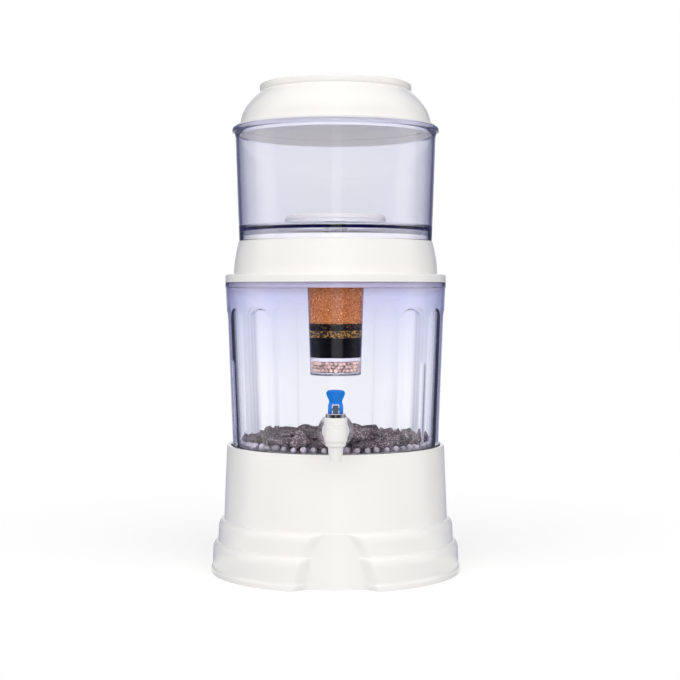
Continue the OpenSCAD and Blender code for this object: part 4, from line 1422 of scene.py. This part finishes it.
@dataclass
class PushTap(SubAssembly):
    """The tap's body, cap, seals, nut and spring, fixed in the lower tank's wall."""

    body = "lower_tank_body"
    axis_y: float = -160.043
    axis_z: float = 172.0
    barrel: float = 12.5
    groove_tops: Triple = (178.2, 181.2, 184.2)
    groove_depth: float = 0.45
    collar: float = 10.8
    spout_top: float = 8.2
    spout_tip: float = 6.9
    bore: float = 5.2
    chamber: float = 9.5
    spout_z: float = 144.0
    seat_z: float = 163.0
    chamber_top: float = 186.6
    cap_top: float = 193.5
    cap_neck: float = 9.6
    stem_hole: float = 2.6
    neck: float = 9.0
    neck_bore: float = 4.5
    neck_start: float = 6.0
    flange: float = 14.6
    flange_y: float = -127.04
    flange_w: float = 3.0
    shank: float = 8.0
    shank_end: float = -99.04
    thread_pitch: float = 2.0
    thread_length: float = 14.0
    spring_r: float = 5.5
    wire_r: float = 0.45
    spring_turns: int = 5

    def around_axis(self, name: str, rows: Sequence[Triple]) -> bpy.types.Mesh:
        """Turns a closed ring of corners round the barrel's axis."""
        return moved(turned(name, soften(rows, 4)[:-1], 5.0), y=self.axis_y)

    def barrel_mesh(self) -> bpy.types.Mesh:
        """Builds the upright barrel with its grooves, collar and spout."""
        out_r, in_r = self.barrel, self.barrel - self.groove_depth
        grooves = [row for top in self.groove_tops for row in (
            (out_r, top - 0.9, 0.15), (in_r, top - 0.6, 0.1), (in_r, top - 0.3, 0.1), (out_r, top, 0.15)
        )]
        return self.around_axis("tap_barrel", [
            (self.bore, self.spout_z + 0.01, 0.0), (self.spout_tip, self.spout_z, 0.7),
            (self.spout_top, 158.6, 0.4), (self.collar - 0.9, 159.0, 0.3), (self.collar, 160.2, 0.6),
            (self.collar + 0.1, 162.8, 0.3), (self.barrel - 0.9, 163.6, 0.5), (self.barrel, 166.0, 1.0),
            *grooves, (self.barrel, self.chamber_top, 0.6), (self.chamber, self.chamber_top, 0.4),
            (self.chamber, self.seat_z, 0.4), (self.bore, self.seat_z, 0.4),
            (self.bore, self.spout_z + 0.01, 0.0),
        ])

    def neck_mesh(self) -> bpy.types.Mesh:
        """Builds the level neck with its flange and its shank."""
        start, end = self.axis_y + self.neck_start, self.flange_y + self.flange_w
        rows = [
            (self.neck_bore, start, 0.0), (self.neck, start, 0.0), (self.neck, self.flange_y, 1.6),
            (self.flange, self.flange_y, 0.9), (self.flange, end, 0.2), (self.shank, end, 0.2),
            (self.shank, self.shank_end, 0.8), (self.neck_bore, self.shank_end, 0.5),
            (self.neck_bore, start, 0.0),
        ]
        return moved(turned("tap_neck", soften(rows, 4)[:-1], 5.0), z=self.axis_z, tip_deg=-90)

    def thread(self) -> bpy.types.Mesh:
        """Winds the thread on the shank inside the tank."""
        ridge = wound("shank_thread", TAP_WHITE, Shade.TURNED, self.shank - 0.35, self.thread_pitch,
                      self.thread_length, 0.55)
        start = self.shank_end - self.thread_length - 1.5
        return moved(taken(ridge), y=start, z=self.axis_z, tip_deg=-90)

    def cap_mesh(self) -> bpy.types.Mesh:
        """Builds the screwed cap with its collar."""
        low, seat, rim = self.chamber_top - 4.0, self.chamber_top, self.chamber_top + 3.0
        plug, out_r = self.chamber - 0.1, self.barrel - 0.3
        return self.around_axis("tap_collar", [
            (self.stem_hole, low, 0.0), (plug, low, 0.4), (plug, seat, 0.1), (out_r, seat, 0.3),
            (out_r, rim, 1.3), (self.cap_neck, rim, 0.2), (self.cap_neck, self.cap_top, 0.5),
            (self.stem_hole, self.cap_top, 0.3), (self.stem_hole, low, 0.0),
        ])

    def build(self) -> None:
        """Builds the tap and dresses its small pieces."""
        whole = joined("tap_housing", [self.barrel_mesh(), self.neck_mesh(), self.thread()])
        self.fit(whole, TAP_WHITE, "tap_white", "tap_body")
        self.fit_mesh(self.cap_mesh(), TAP_WHITE, "tap_white", "tap_cap")
        self.dress(
            tap_outer_washer=CLEAR_SILICONE, tap_inner_washer=CLEAR_SILICONE, tap_nut=NUT_WHITE,
            cap_ring=BRIGHT_METAL, valve_stem=HEAD_GREY, valve_plunger=RUBBER_BLACK, lever_pin=BRIGHT_METAL,
        )
        self.spring()

    def spring(self) -> None:
        """Winds the spring that the stem presses together as it rises."""
        low, high = (corner.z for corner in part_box("valve_spring"))
        length = (high - low) / MM - 2 * self.wire_r
        coil = wound("return_spring", BRIGHT_METAL, Shade.ROUND, self.spring_r, length / self.spring_turns,
                     length, self.wire_r, Sides=10)
        moved(coil.data, y=self.axis_y, z=low / MM + self.wire_r)
        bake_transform(coil)
        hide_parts("valve_spring")
        LOG.info("%s between tap_stem and %s, %d faces", coil.name, self.body, len(coil.data.polygons))


@dataclass
class PushLever(SubAssembly):
    """The blue lever with its thumb blade and its clevis."""

    body = "lever"
    blade_side = (
        (-10.3, 0.5), (-9.9, 2.6), (-9.3, 4.5), (-8.2, 6.0), (-7.4, 7.2), (-7.6, 8.6), (-8.7, 12.0),
        (-10.2, 15.6), (-11.6, 18.6), (-11.9, 19.8), (-11.5, 20.9), (-10.5, 21.4), (-9.3, 21.4), (-8.2, 20.9),
        (-7.4, 20.0), (-6.2, 17.4), (-5.0, 14.0), (-4.2, 11.4), (-3.4, 9.6), (-1.8, 8.5), (0.6, 8.0),
        (3.0, 7.3), (4.8, 5.9), (5.7, 4.0), (6.0, 1.0),
    )
    blade_half = (
        (8.0, 3.6), (7.7, 5.4), (7.1, 6.6), (6.9, 7.8), (6.9, 9.2), (7.2, 10.6), (7.8, 12.0), (8.6, 13.6),
        (9.2, 15.0), (9.7, 16.6), (9.8, 17.8), (9.5, 19.0), (8.8, 20.0), (7.8, 20.7), (6.2, 21.1),
        (4.0, 21.3), (0.0, 21.4),
    )
    pivot: Triple = (0.0, -160.043, 198.0)
    foot_half: Point = (6.0, 8.0)
    rise: float = 4.5
    lift: float = 4.0
    press_deg: float = 50.0
    cam_steps: int = 12
    gap: float = 0.15
    slot: float = 7.3
    slot_top: float = 5.7
    slot_low: float = -12.0
    edge: float = 0.45

    def cam(self) -> list[Point]:
        """Gives the cam under the lever, which lifts it evenly as it turns."""
        rate = self.lift / math.radians(self.press_deg)
        points = []
        for k in range(self.cam_steps + 1):
            a = math.radians(self.press_deg * k / self.cam_steps)
            reach = self.rise - self.gap + rate * a
            sine, cosine = math.sin(a), math.cos(a)
            points.append((-reach * sine - rate * cosine, -reach * cosine + rate * sine))
        return points

    def build(self) -> None:
        """Builds the lever."""
        side = [(self.foot_half[0], -self.rise + self.gap), *self.cam(), *self.blade_side]
        half = [(self.foot_half[1], -self.rise), *self.blade_half]
        front = [*half, *[(-x, z) for x, z in reversed(half[:-1])]]
        wide, low, top = self.slot / 2, self.slot_low, self.slot_top
        at_pivot = Matrix.Translation([c * MM for c in self.pivot])
        across = at_pivot @ Matrix(((0, 0, 1, 0), (1, 0, 0, 0), (0, 1, 0, 0), (0, 0, 0, 1)))
        along = at_pivot @ Matrix(((1, 0, 0, 0), (0, 0, -1, 0), (0, 1, 0, 0), (0, 0, 0, 1)))
        blade = prism("push_lever", side, 16.0, across)
        shaped(blade, prism("lever_front", front, 24.0, along), "INTERSECT")
        gap = [(-wide, low), (wide, low), (wide, top), (-wide, top)]
        shaped(blade, prism("lever_slot", gap, 24.0, along), "DIFFERENCE")
        bevel = blade.modifiers.new("Soft edges", "BEVEL")
        bevel.width = self.edge * MM
        bevel.segments = 3
        bevel.limit_method = "ANGLE"
        bevel.angle_limit = math.radians(40)
        piece = finish_mesh("push_lever", taken(baked(blade)))
        self.fit(piece, LEVER_BLUE, "blue_plastic", "tap_lever")


@dataclass
class MidCover(SubAssembly):
    """The white cover between the tanks."""

    body = "cover"
    low: float = 332.6
    top: float = 380.0
    flange: float = 341.8
    rim_r: float = 127.6
    waist_r: float = 117.7
    waist_power: float = 1.7
    waist_steps: int = 10
    top_r: float = 112.0
    wall: float = 3.0
    hole_r: float = 38.7
    locate_r: float = 107.6
    locate_h: float = 6.0
    mouth_r: float = 123.2
    mouth_w: float = 2.5
    mouth_h: float = 6.2

    def waist(self, inset: float) -> list[Triple]:
        """Gives the bulging side from the flange up to the top, moved in by the inset."""
        start, span = self.flange + 1.5, self.top - 3.0 - self.flange
        shares = [k / self.waist_steps for k in range(self.waist_steps + 1)]
        drop = self.waist_r - self.top_r - 0.4
        return [(self.waist_r - drop * t**self.waist_power - inset, start + span * t, 0.0) for t in shares]

    def build(self) -> None:
        """Builds the cover."""
        w, low, top, under = self.wall, self.low, self.top, self.flange - self.wall
        ring_top, ring_in = self.top + self.locate_h, self.locate_r - self.wall
        mouth_low, mouth_in = self.low - self.mouth_h, self.mouth_r - self.mouth_w
        rows = [
            (self.rim_r, low, 0.4), (self.rim_r, self.flange, 2.6), (self.waist_r, self.flange, 1.2),
            *self.waist(0.0), (self.top_r, top, 1.8), (self.locate_r, top, 0.4),
            (self.locate_r, ring_top, 0.8), (ring_in, ring_top, 0.8), (ring_in, top, 0.6),
            (self.hole_r, top, 0.8), (self.hole_r, top - w, 0.6),
            (self.top_r - w, top - w, 1.0), *reversed(self.waist(w)), (self.waist_r - w, under, 0.8),
            (mouth_in, under, 0.6), (mouth_in, mouth_low, 0.5), (self.mouth_r, mouth_low, 0.8),
            (self.mouth_r, under, 0.6), (self.rim_r - w, under, 0.6), (self.rim_r - w, low, 0.4),
        ]
        self.fit_mesh(turned("mid_cover_shell", soften(rows), 1.5), SHELL_WHITE, "white_shell", "mid_cover")


@dataclass
class UpperTank(SubAssembly):
    """The clear upper tank with the ceramic prefilter on its floor."""

    body = "upper_tank_body"
    skirt_r: float = 111.4
    flare: float = 4.0
    wall: float = 3.0
    low: float = 380.0
    floor: float = 394.5
    rim: float = 510.0
    rim_h: float = 10.0
    roll: float = 119.2
    roll_h: float = 5.0
    hole: float = 7.5
    disc_r: float = 57.5
    disc_z: float = 405.5
    disc_h: float = 5.0
    tray_z: float = 397.5
    tray_gap: float = 1.5
    stem_z: float = 368.0
    stem_r: float = 6.6
    stem_bore: float = 3.5
    stem_flange: float = 12.5
    thread_pitch: float = 1.8
    thread_length: float = 22.0

    def build(self) -> None:
        """Builds the tank and the prefilter."""
        in_r, top_r = self.skirt_r - self.wall, self.skirt_r + self.flare
        under, bend = self.floor - self.wall, self.rim - self.rim_h
        rows = [
            (self.hole, under, 0.0), (in_r, under, 0.8), (in_r, self.low, 0.6), (self.skirt_r, self.low, 0.9),
            (top_r, bend, 2.0), (top_r + 1.4, self.rim - self.roll_h - 0.8, 1.2),
            (self.roll, self.rim - self.roll_h, 1.2), (self.roll, self.rim, 2.4),
            (top_r - self.wall, self.rim, 1.2), (top_r - self.wall, bend, 0.8), (in_r, self.floor, 4.0),
            (self.hole, self.floor, 0.0),
        ]
        outline = divided(soften(rows, 6), 12.0, self.floor - 1.0, self.rim)
        self.fit_mesh(turned("upper_tank_wall", outline, 1.25), LILAC_UPPER, "clear_tank", "upper_tank")
        low, high = self.disc_z, self.disc_z + self.disc_h
        disc = soften([(0.0, low, 0.0), (self.disc_r, low, 0.5), (self.disc_r, high, 1.6), (0.0, high, 0.0)])
        mesh = turned("prefilter_disc", disc, 3.0, closed=False)
        self.fit_mesh(mesh, CERAMIC, "white_ceramic", "ceramic_disc")
        z, r, hole = self.tray_z, self.disc_r + self.tray_gap, self.stem_bore
        tray = [
            (hole, z, 0.0), (r - 1.0, z, 0.4), (r, z + 1.2, 0.6), (r, z + 6.2, 0.2), (r - 0.8, z + 6.5, 0.1),
            (r - 0.8, z + 7.1, 0.1), (r, z + 7.3, 0.2), (r, z + 8.0, 0.4), (r - 4.0, z + 8.0, 0.4),
            (r - 4.0, z + 2.5, 1.0), (hole, z + 2.5, 0.0),
        ]
        mesh = turned("prefilter_pan", soften(tray, 4), 3.0)
        self.fit_mesh(mesh, TRAY_IVORY, "cream_plastic", "prefilter_tray")
        self.outlet()
        self.dress(prefilter_washer=RUBBER_GREY, floor_washer=RUBBER_GREY, stem_nut=NUT_WHITE)

    def outlet(self) -> None:
        """Builds the threaded outlet stem."""
        z, top, flange_z = self.stem_z, self.tray_z, self.tray_z - 1.5
        rows = [
            (self.stem_bore, z, 0.0), (self.stem_r, z, 0.6), (self.stem_r, flange_z, 0.1),
            (self.stem_flange, flange_z, 0.3), (self.stem_flange, top, 0.3), (self.stem_bore, top, 0.0),
        ]
        ridge = wound("stem_thread", STEM_GREY, Shade.TURNED, self.stem_r - 0.05, self.thread_pitch,
                      self.thread_length, 0.44)
        tube = turned("outlet_tube", soften(rows, 3), 6.0)
        whole = joined("outlet_stem", [tube, moved(taken(ridge), z=z + 0.8)])
        self.fit(whole, STEM_GREY, "grey_plastic", "prefilter_stem")


@dataclass
class Cartridge(SubAssembly):
    """The hanging cartridge with its layers of media."""

    body = "cartridge"
    outlet_rings = ((8.0, 6), (16.0, 12), (23.0, 18))
    beds = (
        (Layer.RESIN, 285.1, 339.2, AMBER_BEADS, "amber_resin", dict(Spacing=1.35, Grain=0.72)),
        (Layer.BLACK, 277.0, 284.3, BLACK_GRAINS, "black_granule",
         dict(Spacing=1.2, Grain=0.8, Stretch=0.4, Most=1.3)),
        (Layer.SPECKLED, 268.7, 276.1, OCHRE_GRAINS, "gold_granule",
         dict(Spacing=1.05, Grain=0.6, Stretch=0.3, Most=1.4)),
        (Layer.CARBON, 245.7, 267.8, CARBON_GRAINS, "dark_carbon",
         dict(Spacing=1.2, Grain=0.65, Stretch=0.25)),
    )
    first_seed: int = 5
    top_r: float = 33.3
    taper: float = 3.8
    top: float = 344.0
    bottom: float = 224.6
    wall: float = 0.4
    floor: float = 2.4
    plate: float = 345.5
    boss_r: float = 12.0
    boss_top: float = 382.5
    socket_r: float = 7.05
    socket_z: float = 366.0
    way_r: float = 3.5
    ball: float = 4.8
    ball_layers: int = 3
    ball_rings: int = 3
    ball_seed: int = 19
    grain_gap: float = 0.05

    def radius(self, z: float) -> float:
        """Gives the housing's outer radius at a height."""
        return self.top_r - self.taper * (self.top - z) / (self.top - self.bottom)

    def housing(self) -> None:
        """Builds the clear housing with its drilled floor."""
        low, inner = self.bottom, self.radius(self.bottom + self.floor) - self.wall
        rows = [
            (0.0, low, 0.0), (self.radius(low), low, 1.2), (self.top_r, self.top, 0.3),
            (self.top_r - self.wall, self.top, 0.3), (inner, low + self.floor, 0.8),
            (0.0, low + self.floor, 0.0),
        ]
        mesh = turned("clear_cup", soften(rows), 4.0, closed=False)
        piece = drill_tree().run("clear_cup", mesh, CLEAR_HOUSING, Shade.MOULDED,
                                 Height=(low + self.floor / 2) * MM, Depth=(self.floor + 2.0) * MM)
        self.fit(piece, CLEAR_HOUSING, "clear_housing", "cartridge_housing")

    def cap(self) -> None:
        """Builds the white cap with its skirt, dome and boss."""
        z, skirt_in, boss, way = self.plate, self.top_r + 0.4, self.boss_r, self.way_r
        skirt, dome, head = skirt_in + 2.0, self.plate + 17.0, self.top_r - self.wall - 1.0
        rows = [
            (head, z, 0.2), (skirt_in, z, 0.1), (skirt_in, z - 6.5, 0.3), (skirt, z - 6.5, 0.5),
            (skirt, z + 4.5, 0.8), (skirt - 2.0, z + 6.5, 0.9), (16.0, dome - 3.0, 2.0), (boss, dome, 1.0),
            (boss, self.boss_top, 0.6), (self.socket_r, self.boss_top, 0.3),
            (self.socket_r, self.socket_z, 0.2), (way, self.socket_z, 0.1), (way, dome - 4.0, 0.2),
            (boss, dome - 5.25, 1.0), (head, z + 2.5, 1.0),
        ]
        mesh = turned("cartridge_crown", soften(rows, 4), 4.0)
        self.fit_mesh(mesh, SHELL_WHITE, "white_shell", "cartridge_cap")

    def bed(self, layer: Layer, low: float, high: float, finish: Finish, slot: str, sizes: dict[str, float],
            seed: int) -> None:
        """Packs one layer of grains against the housing.

        Args:
            layer: Which layer it is.
            low: Its lowest height.
            high: Its highest height.
            finish: The grains' finish.
            slot: The record's material slot.
            sizes: The sizes of its grains, with the spacing and the grain's radius in millimetres.
            seed: The seed of its grains.
        """
        back = self.wall + self.grain_gap + sizes["Grain"] * sizes.get("Most", 1.2)
        outline = [(0.0, low), (self.radius(low) - back, low), (self.radius(high) - back, high), (0.0, high)]
        name = layer.value + "_bed"
        mesh = turned(name, outline, 4.0, closed=False, skin=1.0)
        metres = {key: sizes[key] * MM for key in ("Spacing", "Grain")}
        grown = grain_tree().run(name, mesh, finish, Shade.ROUND, **{**sizes, **metres}, Seed=seed)
        self.fit(grown, finish, slot, layer.value)

    def balls(self) -> list[Grain]:
        """Gives the place, size, turn and tone of each ball in the cup, in layers of rings."""
        chance = random.Random(self.ball_seed)
        rows: list[Grain] = []
        low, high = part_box("filter_balls")[0].z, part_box("separator_pad")[0].z
        pitch = (high - low - self.ball * MM) / (self.ball_layers - 1)
        for layer in range(self.ball_layers):
            z = low + self.ball * MM / 2 + pitch * layer
            for ring in range(self.ball_rings):
                reach = (self.radius(z / MM) - self.wall - self.ball * (0.52 + ring)) * MM
                count = int(math.tau * reach / (self.ball * MM))
                for k in range(count):
                    angle = math.tau * (k + layer / 2 + chance.uniform(-0.1, 0.1)) / count
                    size = Vector((self.ball * MM * chance.uniform(0.8, 0.99),) * 3)
                    spot = Vector((reach * math.sin(angle), -reach * math.cos(angle), z))
                    rows.append((spot, size, LowerTank.turn(chance), chance.random()))
        return rows

    def build(self) -> None:
        """Builds the cartridge and its filling."""
        self.housing()
        self.cap()
        for count, row in enumerate(self.beds):
            self.bed(*row, seed=self.first_seed + count)
        points = point_mesh("media_points", self.balls())
        balls = ball_tree().run("media_balls", points, PINK_PEBBLE, Shade.ROUND, Segments=14, Rings=8,
                                Unevenness=0.08)
        self.fit(balls, PINK_PEBBLE, "pale_mineral", "filter_balls")
        self.dress(cap_seal=RUBBER_GREY, top_pad=PALE_FELT, separator_pad=PALE_FELT, outlet_pad=PALE_FELT)


@dataclass
class Lid(SubAssembly):
    """The white lid with its round grip."""

    body = "lid_body"
    low: float = 510.0
    top: float = 560.0
    ring_r: float = 111.6
    ring_h: float = 8.0
    flange_r: float = 115.0
    side_r: float = 109.6
    dome_power: float = 1.9
    dome_steps: int = 16
    grip_r: float = 87.5
    grip_h: float = 8.0
    grip_w: float = 5.6
    recess: float = 4.0
    wall: float = 2.5

    def dome(self, inset: float) -> list[Triple]:
        """Gives the dome from the flange up to the grip, moved in by the inset."""
        start = self.low + self.wall + 3.0
        rise = self.top - self.grip_h - start
        shares = [k / self.dome_steps for k in range(self.dome_steps + 1)]
        narrowing = self.side_r - (self.grip_r - 1.5)
        return [(self.side_r - narrowing * t**self.dome_power - inset, start + (rise - inset) * t, 0.0)
                for t in shares]

    def build(self) -> None:
        """Builds the lid."""
        w, z, ring_in, ring_low = self.wall, self.low, self.ring_r - self.wall, self.low - self.ring_h
        inner, plate = self.grip_r - 7.0, self.top - self.recess
        rows = [
            (ring_in, ring_low, 0.4), (self.ring_r, ring_low, 0.8), (self.ring_r, z, 0.2),
            (self.flange_r, z, 0.3), (self.flange_r, z + w, 0.7), (self.side_r, z + w, 0.8), *self.dome(0.0),
            (self.grip_r, self.top - self.grip_h + 1.6, 1.0), (self.grip_r, self.top, 2.6),
            (self.grip_r - self.grip_w, self.top, 2.0), (inner, plate, 1.2), (0.0, plate, 0.0),
            (0.0, plate - w, 0.0), (inner - w, plate - w, 1.0), *reversed(self.dome(w)),
            (self.side_r - w, z, 0.3), (ring_in, z, 0.2),
        ]
        self.fit_mesh(turned("lid_shell", soften(rows, 6), 1.5), SHELL_WHITE, "white_shell", "lid")


# ------------------------------------------------------------------ studio


@dataclass
class Studio:
    """The floor, the light and the camera."""

    eye: Triple = (0.0, -1.659, 0.317)
    lens: float = 75.7
    sensor: float = 36.0
    pitch_deg: float = 1.76
    yaw_deg: float = 0.176
    backdrop: float = 1.1
    window_degs: Point = (24.0, 3.5)
    side_window_degs: Point = (20.0, 8.0)
    side_window: float = 0.8
    sides: Triple = (0.12, 0.13, 0.25)
    floor_sides: Triple = (0.27, 0.285, 0.44)
    front: Triple = (0.03, 0.03, 0.05)
    front_turns: Point = (0.6, 1.2)
    softbox: float = 0.5
    softbox_degs: Point = (-4.0, 7.0)
    softbox_edge: float = 0.02
    ceiling: float = 0.6
    ceiling_rises: Point = (0.5, 0.85)
    fill: float = 0.3
    key: float = 1.25
    key_ways: Point = (-0.1, 0.85)
    top: float = 0.3
    behind: float = 0.3
    behind_turns: Point = (2.2, 2.9)
    inside: float = 1.6
    depth_power: float = 1.7
    floor_half: float = 30.0
    floor_roughness: float = 0.6
    floor_tone: float = 0.8
    floor_glow: float = 0.3
    floor_share: float = 1.03
    bounce: float = 0.6

    def strengths(self, g: Graph, way: Any, sides: Triple) -> tuple[Term, Term]:
        """Gives the studio's brightness in a direction.

        Args:
            g: The graph that it is used in.
            way: The direction.
            sides: The colour at the sides.

        Returns:
            What the clear plastic shows, and what lights the pieces.
        """
        x, y, z = g.parts(way)
        turn = g.calc("ARCTAN2", x, -y)
        side = abs(turn)
        low, high = (math.radians(a) for a in self.softbox_degs)
        edge = self.softbox_edge
        box = g.step(turn, low - edge, low + edge) * g.step(turn, high + edge, high - edge) * self.softbox
        view = g.blend(g.step(side, *self.front_turns), (*self.front, 1.0), (*sides, 1.0))
        beside = g.step(abs(side - math.pi / 2), *map(math.radians, self.side_window_degs))
        view = g.blend(beside, view, grey(self.side_window))
        back = g.step(side, *(math.radians(180 - a) for a in self.window_degs))
        view = g.blend(back, view, grey(self.backdrop))
        view = g.vector("ADD", view, g.vector("SCALE", (1.0, 1.0, 1.0), scale=box))
        view = g.blend(g.step(z, *self.ceiling_rises), view, grey(self.ceiling))
        light = g.step(-y, *self.key_ways) * self.key + self.fill
        light = g.step(side, *self.behind_turns) * self.behind + light
        return view, g.positive(z) * self.top + light

    def behind_plastic(self, g: Graph) -> tuple[Any, Term, Term]:
        """Tells the ways of the light apart.

        Args:
            g: The graph that it is used in.

        Returns:
            1 for what the camera sees at once, 1 for what lights a piece, and how much brighter that is for
            the pieces that are seen through clear plastic.
        """
        path = g.add("ShaderNodeLightPath").outputs
        lit = g.calc("GREATER_THAN", path["Diffuse Depth"], 0.5)
        walls = g.calc("MULTIPLY", path["Transmission Depth"], 0.25)
        return path["Is Camera Ray"], lit, g.calc("POWER", walls, self.depth_power) * self.inside + 1.0

    def floor(self) -> None:
        """Lays the plain pale floor, which is as white as the backdrop behind and darker at the sides."""
        half = self.floor_half
        mesh = bpy.data.meshes.new("floor")
        corners = [(-half, -half, 0), (half, -half, 0), (half, half, 0), (-half, half, 0)]
        mesh.from_pydata(corners, [], [(0, 1, 2, 3)])
        mat = bpy.data.materials.new("floor_white")
        mat.use_nodes = True
        g = Graph(mat.node_tree)
        view, _ = self.strengths(g, g.place(), self.floor_sides)
        seen, lit, boost = self.behind_plastic(g)
        glow = g.blend(lit, g.vector("SCALE", view, scale=self.floor_share), boost * self.bounce)
        g.fill(mat.node_tree.nodes["Principled BSDF"], {
            "Roughness": self.floor_roughness, "Specular IOR Level": 0.0, "Emission Strength": 1.0,
            "Emission Color": g.blend(seen, glow, grey(self.floor_glow)),
            "Base Color": g.calc("MULTIPLY", seen, self.floor_tone),
        })
        mat.cycles.emission_sampling = "NONE"
        mesh.materials.append(mat)
        add_object("floor", mesh)

    def world(self) -> None:
        """Makes a white backdrop with darker sides, and the soft light of a studio's front and top."""
        world = bpy.data.worlds.new("studio")
        world.use_nodes = True
        world.node_tree.nodes.clear()
        g = Graph(world.node_tree)
        view, light = self.strengths(g, g.add("ShaderNodeTexCoord").outputs["Generated"], self.sides)
        seen, lit, boost = self.behind_plastic(g)
        colour = g.blend(seen, g.blend(lit, view, light * boost), WHITE)
        g.add("ShaderNodeOutputWorld", {"Surface": g.add("ShaderNodeBackground", {"Color": colour})})
        world.cycles.sampling_method = "NONE"
        bpy.context.scene.world = world

    def camera(self) -> None:
        """Sets the camera at the usual view."""
        data = bpy.data.cameras.new("camera")
        data.lens = self.lens
        data.sensor_width = self.sensor
        camera = add_object("camera", data)
        camera.location = self.eye
        camera.rotation_euler = Euler((math.radians(90 - self.pitch_deg), 0.0, math.radians(-self.yaw_deg)))
        bpy.context.scene.camera = camera

    def build(self) -> None:
        """Sets up the whole studio."""
        self.floor()
        self.world()
        self.camera()
        bpy.context.scene.view_settings.view_transform = "Standard"


def main() -> None:
    """Builds the studio and every sub-assembly."""
    logging.basicConfig(level=logging.INFO, format="%(name)s: %(message)s")
    Studio().build()
    parts = (BaseStand(), LowerTank(), PushTap(), PushLever(), MidCover(), UpperTank(), Cartridge(), Lid())
    for part in parts:
        LOG.info("building %s", type(part).__name__)
        part.build()


if __name__ == "__main__":
    main()
